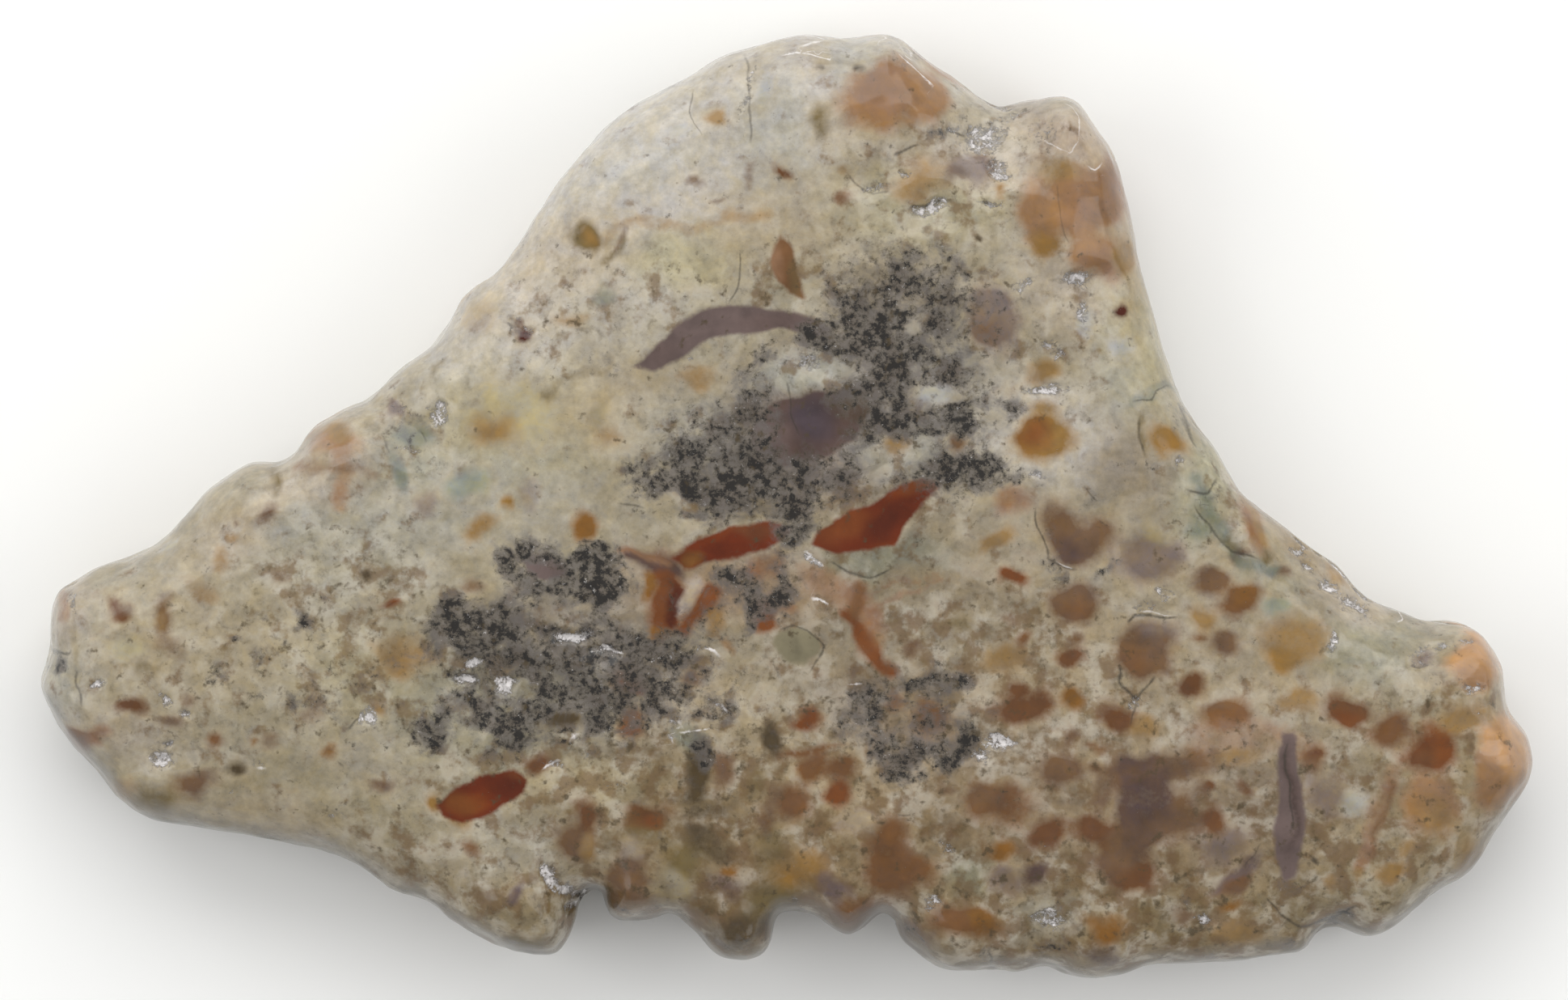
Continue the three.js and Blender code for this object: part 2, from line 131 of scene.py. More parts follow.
# Broad soft zones of the ground: x, y, half width, half height, turn in degrees, shade, strength
ZONES = [
    # how the ground darkens from the crest to the lower and right ends: partly own colour, partly painted
    # shade
    (1150, 700, 330, 230, 0, "dun", 0.7), (1500, 900, 420, 220, -8, "dun", 0.95),
    (1500, 1050, 360, 110, 0, "drab", 0.75), (1030, 1020, 420, 130, 0, "drab", 0.85),
    (1150, 790, 190, 110, 0, "drab", 0.62), (850, 720, 120, 50, 0, "rose", 0.35),
    (1740, 1000, 170, 150, 0, "sand", 0.45), (880, 1120, 300, 70, 4, "drab", 0.8),
    (900, 1120, 170, 60, 0, "bark", 0.4), (650, 1130, 60, 60, 0, "sand", 0.6),
    (1400, 1175, 420, 50, 0, "drab", 0.75), (560, 1090, 160, 60, -22, "drab", 0.35),
    (1070, 960, 100, 44, 0, "cream", 0.6), (700, 962, 100, 30, 0, "butter", 0.75),
    (1160, 850, 120, 60, 0, "drab", 0.35), (1040, 520, 210, 100, 12, "smoke", 0.88),
    (915, 600, 66, 46, 0, "bark", 0.75), (1110, 380, 100, 74, 0, "smoke", 0.35),
    (710, 830, 190, 100, -4, "smoke", 0.62), (1090, 880, 110, 70, 0, "smoke", 0.45),
    (740, 250, 290, 170, 38, "chalk", 1.0), (1040, 110, 170, 90, 0, "chalk", 0.75),
    (1010, 80, 110, 36, 0, "pinkish", 0.45), (1050, 78, 40, 34, 0, "mist", 0.6),
    (960, 150, 50, 90, 0, "mist", 0.5), (800, 200, 120, 50, 30, "mist", 0.35),
    (1110, 160, 100, 60, 0, "cream", 0.6), (1330, 290, 90, 150, 0, "pinkish", 0.7),
    (1210, 190, 50, 40, 0, "chalk", 0.6), (850, 322, 90, 34, 8, "butter", 0.8),
    (700, 330, 120, 60, 30, "cream", 0.6), (620, 420, 120, 60, 35, "chalk", 0.45),
    (960, 290, 110, 60, 0, "cream", 0.5), (1140, 260, 110, 50, 0, "butter", 0.45),
    (640, 520, 120, 80, 0, "butter", 0.6), (780, 500, 110, 60, 0, "cream", 0.5),
    (560, 620, 170, 60, 10, "mist", 0.5), (990, 465, 70, 26, 8, "mist", 0.9),
    (1150, 500, 110, 110, 0, "mist", 0.5), (860, 530, 90, 60, 0, "mist", 0.5),
    (1100, 560, 60, 30, 0, "mist", 0.6), (1286, 543, 84, 74, 0, "chalk", 0.8),
    (1400, 420, 50, 110, 10, "butter", 0.65), (1380, 470, 26, 80, 8, "mist", 0.5),
    (1390, 575, 60, 60, 0, "lilac", 0.35), (1480, 600, 30, 90, -28, "sage", 0.6),
    (1510, 560, 30, 110, -32, "butter", 0.5), (1560, 720, 50, 30, -40, "sage", 0.35),
    (1680, 800, 80, 44, 0, "sage", 0.5), (1670, 735, 60, 34, -30, "pinkish", 0.6),
    (1560, 850, 60, 22, 0, "cream", 0.5), (1330, 850, 160, 90, 0, "cream", 0.3),
    (1340, 960, 250, 120, 0, "lilac", 0.35), (1560, 980, 180, 100, 0, "lilac", 0.3),
    (1790, 990, 90, 90, 0, "tan", 0.45), (1830, 850, 60, 50, -25, "tan", 0.5),
    (1480, 1130, 200, 34, 0, "olive", 0.3), (1150, 780, 150, 60, 0, "mist", 0.3),
    (1090, 690, 90, 22, 6, "fern", 0.6), (950, 730, 110, 50, 0, "rose", 0.35),
    (900, 860, 90, 50, 0, "cream", 0.4), (700, 965, 90, 28, 6, "cream", 0.6),
    (640, 1040, 120, 40, 0, "mist", 0.3), (960, 1090, 120, 50, 0, "clay", 0.25),
    (250, 800, 150, 80, 8, "cream", 0.3), (330, 640, 120, 40, 30, "pinkish", 0.5),
    (450, 700, 110, 70, 0, "mist", 0.35), (370, 650, 44, 32, 0, "mist", 0.6),
    (500, 560, 50, 40, 0, "sage", 0.5), (420, 560, 60, 50, 20, "pinkish", 0.6),
    (470, 830, 110, 60, 0, "butter", 0.3), (640, 860, 160, 90, 0, "sage", 0.4),
    (150, 905, 100, 40, -12, "pinkish", 0.45), (70, 850, 40, 50, 0, "mist", 0.5),
    (90, 750, 30, 50, 0, "pinkish", 0.6), (400, 985, 170, 44, -14, "sand", 0.6),
    (1200, 1075, 40, 26, 0, "sage", 0.6), (1280, 1125, 60, 34, 0, "mist", 0.4),
    (1660, 1030, 40, 40, 0, "cream", 0.4), (1395, 330, 16, 90, 8, "tan", 0.35),
    (1285, 165, 50, 34, -8, "pinkish", 0.8), (1345, 180, 50, 50, 0, "peach", 0.3),
    (1240, 215, 40, 30, 0, "pinkish", 0.6), (1180, 205, 60, 36, 0, "pinkish", 0.4),
    (640, 450, 60, 40, 30, "chalk", 0.4), (330, 1010, 110, 40, -8, "cream", 0.5),
    (1600, 660, 60, 24, -40, "tan", 0.5),
]

# The paler halo round a cell: its width in pixels, and its share
HALO_WIDTH = 18
HALO_SHARE = 0.4

# Half the width of a large cell's soft rim: 15 pixels are 0.77 mm
CELL_SOFTNESS = 15

# Where iron stains and specks make the ground gritty: x, y, half width, half height, turn in degrees, share
GRIT = [
    (1110, 800, 200, 110, 0, 0.6), (1480, 960, 220, 120, 0, 0.5), (430, 740, 130, 130, 20, 0.6),
    (300, 830, 210, 110, 10, 0.45), (700, 860, 240, 140, 0, 0.7), (1100, 400, 190, 130, 0, 0.6),
    (1000, 580, 240, 120, 0, 0.6), (1180, 220, 140, 90, 0, 0.5), (1320, 420, 60, 120, 0, 0.4),
    (850, 380, 190, 60, 5, 0.45), (680, 400, 90, 60, 30, 0.45), (520, 540, 90, 60, 20, 0.5),
    (1500, 620, 50, 130, -35, 0.6), (1300, 860, 220, 140, 0, 0.55), (900, 980, 320, 130, 0, 0.85),
    (880, 1120, 320, 70, 0, 0.9), (1400, 1110, 420, 100, 0, 0.85), (1600, 1050, 120, 80, 0, 0.6),
    (1760, 930, 140, 150, 0, 0.6), (550, 1060, 160, 70, -20, 0.5),
]

# Rounded cells with soft, grainy rims: x, y, half width, half height, turn in degrees, shade, strength
CELLS = [
    # crest; the three small mist and sand cells here are painted glints
    (1060, 85, 4, 4, 0, "bark", 0.9), (1012, 88, 4, 4, 0, "bark", 0.8), (1135, 72, 5, 4, 0, "bark", 0.8),
    (1210, 297, 5, 4, 0, "bark", 0.8), (945, 110, 8, 20, 0, "mist", 0.6), (890, 140, 12, 4, 0, "sand", 0.3),
    (840, 172, 16, 4, 10, "mist", 0.5), (1098, 125, 66, 44, 8, "apricot", 0.6),
    (1090, 118, 30, 24, 0, "rose", 0.7), (1148, 120, 24, 26, 0, "apricot", 0.7),
    (1015, 155, 12, 18, 0, "olive", 0.45), (1140, 228, 38, 25, 8, "tan", 0.5),
    (1180, 225, 8, 8, 0, "umber", 0.7), (1200, 215, 25, 20, 0, "lilac", 0.5),
    (1233, 238, 7, 7, 0, "ochre", 0.6), (1043, 248, 6, 6, 0, "clay", 0.5), (1047, 220, 7, 6, 0, "tan", 0.6),
    (968, 218, 17, 6, -25, "chestnut", 0.85), (895, 152, 12, 6, 0, "tan", 0.6),
    (860, 230, 10, 4, 0, "umber", 0.5), (888, 250, 10, 3, 0, "umber", 0.5),
    # right shoulder
    (1280, 268, 25, 34, 6, "apricot", 0.9), (1284, 300, 18, 18, 0, "ochre", 0.6),
    (1336, 250, 48, 42, -12, "apricot", 0.9), (1352, 318, 34, 28, 0, "apricot", 0.85),
    (1330, 255, 26, 24, 0, "rose", 0.55), (1356, 322, 18, 16, 0, "rose", 0.5),
    (1300, 214, 28, 14, 0, "tan", 0.4), (1378, 232, 20, 34, 0, "rose", 0.7),
    (1388, 322, 10, 16, 0, "tan", 0.8), (1228, 395, 36, 42, 0, "lilac", 0.75),
    (1222, 412, 20, 18, 0, "umber", 0.7), (1230, 380, 22, 18, 0, "lilac", 0.5),
    (1381, 383, 9, 9, -30, "maroon", 1.0), (1290, 458, 18, 15, 0, "tan", 0.85),
    (1340, 400, 10, 16, 0, "mist", 0.5),
    # ringed spot
    (1284, 543, 36, 30, 0, "ochre", 0.8), (1275, 541, 20, 18, 0, "rust", 1.0),
    (1285, 505, 20, 9, 0, "tan", 0.6),
    # upper left
    (730, 298, 20, 14, 10, "olive", 0.8), (733, 298, 10, 8, 10, "ochre", 0.7),
    (600, 390, 22, 22, 0, "cream", 0.4), (647, 410, 8, 7, 0, "maroon", 1.0),
    (710, 400, 28, 8, 0, "tan", 0.35), (750, 370, 12, 15, 0, "sage", 0.5),
    # left shoulder
    (640, 515, 60, 44, 0, "butter", 0.4), (620, 535, 30, 20, 10, "tan", 0.3),
    (617, 540, 12, 8, 0, "tan", 0.4), (740, 518, 10, 16, 0, "sand", 0.5),
    (752, 540, 15, 10, 0, "tan", 0.35), (855, 468, 24, 13, 10, "ochre", 0.45),
    (515, 538, 26, 16, 0, "fern", 0.6), (582, 600, 22, 20, 0, "sage", 0.75),
    (655, 610, 14, 22, 0, "lilac", 0.3), (535, 625, 15, 15, 0, "lilac", 0.4),
    (629, 630, 8, 10, 0, "ochre", 0.7), (600, 655, 13, 12, 0, "ochre", 0.55),
    (725, 651, 15, 17, 0, "amber", 0.8), (487, 504, 9, 9, 0, "lilac", 0.8),
    (497, 585, 10, 30, 10, "fern", 0.6), (590, 725, 12, 10, 0, "umber", 0.4),
    (665, 690, 10, 10, 0, "plum", 0.3), (700, 780, 18, 12, 0, "olive", 0.6),
    (515, 805, 26, 25, 0, "tan", 0.4),
    # crossed cell at the left knob
    (418, 545, 34, 20, -8, "apricot", 0.45), (424, 530, 14, 14, 0, "tan", 0.5),
    # left arm
    (345, 595, 8, 18, 0, "olive", 0.45), (335, 630, 14, 9, -10, "umber", 0.7),
    (300, 638, 5, 5, 0, "umber", 0.6), (298, 660, 8, 6, 0, "ochre", 0.4), (280, 690, 9, 11, 0, "tan", 0.5),
    (215, 680, 12, 12, 0, "mist", 0.3), (360, 720, 9, 8, 0, "umber", 0.35),
    (463, 714, 7, 11, 0, "bark", 0.6), (482, 745, 9, 4, 0, "rust", 0.8),
    (158, 760, 12, 10, 0, "chestnut", 0.7), (147, 746, 9, 5, -40, "chestnut", 0.6),
    (215, 760, 14, 23, 0, "umber", 0.55), (212, 766, 9, 12, 0, "tan", 0.6),
    (255, 730, 14, 14, 0, "tan", 0.45), (170, 800, 24, 16, 0, "butter", 0.6),
    (190, 830, 14, 9, 0, "olive", 0.35), (220, 800, 18, 14, 0, "umber", 0.35),
    (490, 810, 20, 24, 0, "tan", 0.45), (168, 873, 18, 11, 0, "chestnut", 0.85),
    (215, 888, 18, 9, 0, "umber", 0.6), (112, 912, 27, 15, 0, "rose", 0.7),
    (104, 908, 14, 9, 0, "clay", 0.5), (270, 912, 11, 11, 0, "clay", 0.6),
    (320, 912, 5, 4, 0, "amber", 0.7), (340, 910, 11, 12, 0, "umber", 0.4),
    (250, 960, 26, 13, 25, "umber", 0.6), (302, 945, 12, 8, 0, "bark", 0.7),
    (200, 985, 30, 18, -10, "olive", 0.5), (150, 975, 22, 14, -30, "tan", 0.4),
    (415, 931, 11, 6, 0, "amber", 0.7), (475, 870, 9, 8, 0, "tan", 0.6), (480, 965, 14, 9, 0, "umber", 0.6),
    (245, 860, 10, 8, 0, "umber", 0.35), (390, 880, 16, 12, 0, "umber", 0.25),
    # lower middle
    (620, 820, 20, 14, 0, "ochre", 0.35), (700, 890, 20, 13, 0, "bark", 0.7),
    (785, 842, 22, 16, 0, "chestnut", 0.85), (792, 850, 10, 8, 0, "rust", 0.8),
    (780, 892, 17, 17, 0, "clay", 0.85), (778, 900, 10, 8, 0, "rust", 0.6),
    (860, 840, 11, 13, 0, "umber", 0.7), (672, 937, 18, 11, 0, "chestnut", 0.75),
    (550, 990, 10, 12, 0, "ochre", 0.7), (575, 1012, 12, 9, 0, "tan", 0.6),
    (583, 1042, 12, 9, 0, "clay", 0.6), (728, 1002, 15, 17, 0, "chestnut", 0.75),
    (715, 1034, 25, 22, 0, "umber", 0.85), (730, 1038, 10, 14, 0, "tan", 0.6),
    (800, 1010, 24, 17, 0, "chestnut", 0.8), (806, 1018, 13, 9, 0, "rust", 0.8),
    (785, 1050, 12, 12, 0, "cream", 0.6), (778, 1080, 26, 26, 0, "umber", 0.8),
    (860, 948, 14, 34, 0, "bark", 0.8), (892, 945, 15, 20, 0, "umber", 0.6),
    (955, 905, 14, 17, 0, "bark", 0.75), (875, 1035, 40, 14, -30, "bark", 0.5),
    (850, 1060, 26, 24, 0, "olive", 0.6), (903, 1068, 9, 7, 0, "amber", 0.6),
    (895, 1086, 20, 14, 0, "plum", 0.45), (780, 1112, 30, 14, 0, "umber", 0.45),
    (918, 1145, 44, 26, 0, "bark", 0.5), (643, 1100, 9, 11, 0, "smoke", 0.8),
    (650, 1165, 34, 14, 0, "olive", 0.7),
    # strings of small cells, lower right middle
    (995, 886, 15, 14, 0, "rust", 0.8), (1002, 945, 16, 17, 0, "clay", 0.85),
    (1035, 948, 17, 15, 0, "clay", 0.85), (1032, 978, 15, 13, 0, "rust", 0.8),
    (980, 988, 19, 25, 0, "clay", 0.85), (956, 978, 8, 14, 0, "umber", 0.4),
    (948, 1010, 13, 18, 0, "umber", 0.6), (992, 922, 34, 4, 3, "clay", 0.7),
    (955, 1040, 24, 30, 0, "olive", 0.45), (950, 1105, 40, 26, 0, "olive", 0.5),
    (1110, 1150, 60, 14, 0, "umber", 0.5), (1094, 1038, 24, 34, -20, "clay", 0.85),
    (1112, 1074, 42, 24, 4, "clay", 0.85), (830, 1090, 26, 24, 0, "sand", 0.5),
    (870, 990, 44, 16, 0, "bark", 0.35), (800, 1026, 34, 28, 0, "olive", 0.3),
    (1050, 1010, 24, 16, 0, "cream", 0.5), (850, 905, 22, 14, 0, "fern", 0.4),
    (935, 962, 14, 22, 0, "olive", 0.3), (990, 1070, 34, 24, 0, "ochre", 0.5),
    (1030, 1090, 18, 15, 0, "smoke", 0.6), (1055, 1122, 38, 22, 0, "clay", 0.6),
    (1145, 880, 19, 26, 30, "clay", 0.7), (1105, 866, 8, 11, 0, "clay", 0.5),
    (1150, 905, 30, 25, 0, "lilac", 0.4), (1230, 666, 22, 11, 5, "tan", 0.9),
    (1252, 622, 22, 15, 0, "rose", 0.55), (1253, 716, 17, 10, -8, "rust", 0.95),
    (1328, 744, 27, 25, 0, "umber", 0.9), (1330, 752, 16, 12, 0, "clay", 0.6),
    (1178, 765, 15, 10, 0, "olive", 0.4), (1237, 765, 10, 9, 0, "umber", 0.3),
    (1328, 787, 9, 6, 0, "umber", 0.6), (1325, 807, 14, 12, 0, "chestnut", 0.75),
    (1240, 812, 26, 17, 0, "tan", 0.75), (1260, 790, 9, 8, 0, "clay", 0.6),
    (1130, 805, 11, 9, 0, "umber", 0.6), (1308, 634, 22, 20, 0, "umber", 0.6),
    (1332, 666, 40, 28, 5, "umber", 0.85), (1322, 672, 20, 14, 0, "plum", 0.5),
    (1418, 690, 40, 32, 0, "lilac", 0.8), (1420, 650, 24, 20, 0, "sand", 0.3),
    (1408, 800, 38, 38, 15, "umber", 0.75), (1398, 812, 20, 18, 0, "clay", 0.4),
    (1425, 775, 22, 12, 0, "lilac", 0.4), (1265, 866, 32, 17, 8, "chestnut", 0.9),
    (1254, 845, 10, 8, 0, "chestnut", 0.7), (1326, 860, 17, 12, 0, "amber", 0.9),
    (1380, 880, 22, 16, 0, "chestnut", 0.8), (1412, 896, 18, 13, 0, "tan", 0.7),
    (1306, 950, 29, 19, 0, "umber", 0.85), (1349, 950, 9, 9, 0, "umber", 0.6),
    (1320, 911, 9, 8, 0, "umber", 0.6), (1348, 920, 16, 5, 0, "clay", 0.5),
    (1230, 988, 44, 24, 5, "clay", 0.75), (1215, 985, 20, 15, 0, "umber", 0.5),
    (1292, 1022, 22, 18, 0, "chestnut", 0.8), (1345, 1018, 24, 17, 0, "chestnut", 0.75),
    (1236, 1043, 18, 13, 0, "amber", 0.9), (1240, 1080, 18, 15, 0, "lilac", 0.9),
    (1278, 1074, 16, 15, 0, "plum", 0.7), (1188, 1135, 44, 19, -3, "clay", 0.85),
    (1215, 1133, 18, 12, 0, "amber", 0.5), (1362, 1142, 25, 16, 0, "amber", 0.7),
    (1355, 1175, 20, 14, 0, "plum", 0.5), (1165, 976, 7, 7, 0, "umber", 0.6),
    (1102, 550, 12, 14, 0, "tan", 0.6), (1180, 550, 12, 11, 0, "umber", 0.9),
    (1150, 490, 20, 15, 0, "mist", 0.5),
    # right of centre
    (1438, 545, 23, 16, -10, "ochre", 0.75), (1385, 430, 14, 14, 0, "mist", 0.7),
    # right end
    (1475, 642, 18, 28, 0, "fern", 0.5), (1492, 715, 20, 17, 0, "umber", 0.85),
    (1527, 740, 27, 17, 20, "clay", 0.8), (1530, 736, 16, 10, 20, "amber", 0.6),
    (1480, 760, 14, 12, 0, "tan", 0.8), (1502, 790, 24, 15, 0, "umber", 0.85),
    (1470, 780, 8, 6, 0, "clay", 0.5), (1527, 683, 11, 9, 0, "chestnut", 0.9),
    (1580, 705, 13, 8, 0, "umber", 0.6), (1560, 688, 8, 6, 0, "olive", 0.6),
    (1570, 750, 13, 9, 0, "sage", 0.8), (1592, 792, 36, 34, 0, "tan", 0.55),
    (1580, 812, 18, 14, 0, "ochre", 0.5), (1465, 844, 18, 15, -30, "chestnut", 0.9),
    (1508, 880, 30, 15, 4, "clay", 0.85), (1500, 872, 20, 8, 0, "umber", 0.4),
    (1600, 866, 20, 12, 0, "tan", 0.6), (1658, 876, 27, 18, 15, "chestnut", 0.9),
    (1655, 884, 14, 9, 0, "rust", 0.5), (1708, 897, 21, 20, 0, "clay", 0.85),
    (1760, 925, 31, 24, 0, "rust", 0.95), (1752, 932, 14, 12, 0, "chestnut", 0.6),
    (1800, 884, 32, 17, 25, "tan", 0.8), (1858, 935, 38, 52, 0, "peach", 0.9),
    (1836, 962, 20, 30, 0, "apricot", 0.7), (1818, 812, 30, 30, 0, "peach", 0.8),
    (1820, 828, 16, 18, 0, "apricot", 0.8), (1755, 812, 12, 8, 0, "smoke", 0.5),
    (1442, 944, 62, 19, 10, "umber", 0.7), (1410, 985, 36, 60, 0, "plum", 0.6),
    (1420, 1020, 40, 22, 0, "umber", 0.55), (1455, 998, 15, 22, 0, "umber", 0.6),
    (1486, 1004, 19, 15, 0, "chestnut", 0.7), (1362, 964, 17, 26, -20, "umber", 0.5),
    (1380, 1052, 40, 36, 0, "umber", 0.75), (1396, 1078, 32, 22, 0, "chestnut", 0.8),
    (1480, 972, 14, 12, 0, "umber", 0.45), (1530, 930, 30, 14, 0, "tan", 0.35),
    (1525, 1072, 40, 9, 32, "smoke", 0.6), (1520, 1090, 18, 10, 20, "clay", 0.6),
    (1632, 978, 30, 26, 0, "lilac", 0.6), (1620, 935, 16, 14, 0, "umber", 0.5),
    (1622, 930, 9, 4, 0, "maroon", 0.6), (1670, 985, 16, 14, 0, "mist", 0.4),
    (1617, 1051, 7, 3, -20, "soot", 0.9), (1725, 1072, 16, 10, 0, "ochre", 0.6),
    (1490, 970, 7, 6, 0, "chestnut", 0.7), (1530, 970, 7, 6, 0, "chestnut", 0.5),
    (1505, 1038, 34, 24, 0, "lilac", 0.75), (1540, 1072, 14, 11, 0, "smoke", 0.5),
    (1520, 1095, 12, 10, 0, "umber", 0.5), (1757, 992, 38, 36, 0, "apricot", 0.6),
    (1762, 1000, 22, 24, 0, "tan", 0.5), (1720, 1070, 15, 9, 0, "tan", 0.7),
    (1735, 1045, 9, 8, 0, "tan", 0.5), (1640, 1090, 9, 9, 0, "tan", 0.5), (1680, 1075, 8, 8, 0, "tan", 0.4),
    (1812, 1060, 20, 26, 0, "tan", 0.75), (1510, 1118, 12, 7, 0, "amber", 0.7),
    (1520, 1150, 34, 14, 0, "tan", 0.6), (1450, 1130, 14, 9, 0, "umber", 0.3),
    (1545, 650, 14, 34, 22, "rose", 0.7), (1660, 712, 22, 9, -38, "tan", 0.8),
]

# Bands and streaks with soft, grainy rims: shade, strength, half width, points
STREAKS = [
    ("clay", 0.4, 5, [(376, 584), (405, 574), (440, 576), (470, 590)]),
    ("apricot", 0.5, 9, [(422, 560), (424, 590), (428, 612)]),
    ("ochre", 0.35, 6, [(760, 290), (800, 280), (825, 290), (880, 285), (900, 270), (950, 275)]),
    ("umber", 0.5, 4, [(930, 205), (929, 240)]), ("olive", 0.6, 4, [(745, 325), (762, 315), (775, 305)]),
    ("umber", 0.5, 3, [(765, 308), (778, 293)]),
    ("olive", 0.35, 5, [(680, 485), (700, 470), (735, 460), (752, 445)]),
    ("olive", 0.5, 4, [(540, 465), (550, 448)]), ("plum", 0.75, 8, [(783, 691), (815, 695), (845, 697)]),
    ("rust", 0.85, 18, [(828, 705), (824, 740), (820, 768)]), ("maroon", 0.75, 8, [(836, 725), (830, 766)]),
    ("amber", 0.8, 7, [(804, 712), (798, 736)]), ("amber", 0.7, 6, [(810, 784), (824, 782)]),
    ("rust", 0.85, 11, [(882, 728), (866, 752), (850, 776)]), ("ochre", 0.6, 9, [(888, 752), (892, 778)]),
    ("rust", 0.9, 11, [(948, 745), (946, 768)]), ("rust", 0.5, 12, [(925, 706), (960, 696)]),
    ("rose", 0.75, 7, [(962, 742), (980, 748)]), ("clay", 0.65, 8, [(1068, 712), (1060, 735), (1052, 755)]),
    ("rust", 0.8, 8, [(1045, 752), (1062, 780), (1085, 812), (1105, 830)]),
    ("rose", 0.6, 18, [(1070, 750), (1076, 790)]), ("rose", 0.5, 18, [(1015, 715), (1045, 728)]),
    ("rose", 0.5, 3, [(1075, 745), (1110, 740), (1140, 730), (1160, 715)]),
    ("rose", 0.5, 3, [(1068, 725), (1110, 725), (1150, 714)]),
    ("rose", 0.6, 4, [(770, 682), (800, 690), (830, 694)]),
    ("pinkish", 0.9, 9, [(862, 712), (854, 728), (848, 740)]), ("amber", 0.5, 4, [(905, 790), (920, 805)]),
    ("rose", 0.5, 9, [(1715, 945), (1700, 975), (1690, 1010), (1680, 1065)]),
    ("clay", 0.45, 4, [(1712, 960), (1700, 1000), (1692, 1050)]),
    ("olive", 0.5, 5, [(1505, 660), (1520, 675)]),
    ("fern", 0.6, 7, [(1470, 590), (1484, 625), (1500, 655), (1530, 690), (1570, 705)]),
    ("fern", 0.5, 6, [(1395, 500), (1420, 495), (1440, 480)]),
    ("olive", 0.6, 3, [(1400, 520), (1402, 545), (1410, 570)]), ("rose", 0.5, 4, [(88, 735), (84, 760)]),
    ("tan", 0.5, 6, [(1535, 612), (1550, 648), (1562, 672)]),
    ("rose", 0.35, 16, [(1480, 905), (1560, 900), (1620, 930)]),
]

# Lenses and flakes with crisp rims: shade, points of the rim
LENSES = [
    ("smoke", [
        (783, 457), (802, 440), (822, 420), (842, 401), (872, 387), (905, 377), (958, 384), (1008, 399),
        (1027, 412), (1010, 421), (962, 410), (925, 414), (888, 416), (862, 432), (838, 450), (808, 462),
    ]),
    ("plum", [
        (936, 520), (955, 503), (1000, 489), (1050, 479), (1078, 488), (1072, 512), (1058, 542),
        (1012, 569), (962, 580), (938, 562), (930, 542),
    ]),
    ("jasper", [
        (1012, 655), (1040, 636), (1075, 622), (1110, 600), (1135, 591), (1158, 598), (1135, 628),
        (1118, 652), (1108, 672), (1072, 678), (1032, 682), (1008, 674),
    ]),
    ("jasper", [
        (832, 688), (868, 664), (902, 654), (950, 646), (978, 652), (970, 668), (945, 680), (900, 690),
        (852, 701),
    ]),
    ("jasper", [
        (548, 992), (575, 966), (605, 951), (640, 945), (658, 955), (653, 974), (625, 988), (600, 1005),
        (575, 1013), (556, 1008),
    ]),
    ("pebble", [
        (956, 792), (964, 779), (985, 774), (1003, 781), (1016, 795), (1012, 808), (994, 818), (974, 816),
    ]),
    ("clay", [
        (968, 296), (980, 308), (988, 338), (995, 371), (978, 368), (961, 352), (955, 330), (961, 308),
    ]),
    ("smoke", [
        (1579, 903), (1595, 903), (1598, 950), (1602, 1000), (1601, 1045), (1594, 1082), (1582, 1086),
        (1570, 1055), (1567, 1010), (1572, 950),
    ]),
    ("smoke", [
        (655, 690), (680, 682), (708, 694), (706, 712), (682, 716), (660, 708),
    ]),
]

# Tints inside the lenses: x, y, half width, half height, turn in degrees, shade, strength
LENS_TINTS = [
    (1118, 606, 40, 9, 34, "flame", 0.6), (1050, 645, 34, 12, 22, "flame", 0.6),
    (1100, 672, 26, 8, 0, "flame", 0.6), (900, 660, 44, 8, 16, "flame", 0.4),
    (590, 985, 30, 12, 28, "flame", 0.6), (640, 952, 16, 8, 0, "rust", 0.6),
    (1010, 522, 30, 32, 0, "slate", 0.8), (955, 542, 30, 26, 0, "smoke", 0.6),
    (1060, 497, 24, 22, 0, "bark", 0.8), (1040, 650, 40, 20, 25, "rust", 0.5),
    (1095, 642, 34, 22, 30, "maroon", 0.8), (1135, 598, 24, 12, 20, "rust", 0.8),
    (862, 686, 16, 9, 0, "amber", 0.7), (930, 662, 34, 12, 0, "chestnut", 0.5),
    (632, 965, 26, 18, 0, "maroon", 0.4), (582, 990, 22, 14, 20, "amber", 0.35),
    (960, 400, 50, 16, 0, "plum", 0.4), (820, 440, 30, 18, 35, "plum", 0.3),
    (963, 330, 9, 30, 0, "rose", 0.8), (985, 350, 9, 26, 0, "olive", 0.5),
    (1585, 985, 9, 70, 0, "plum", 0.6), (1584, 985, 4, 66, 0, "soot", 0.35),
]

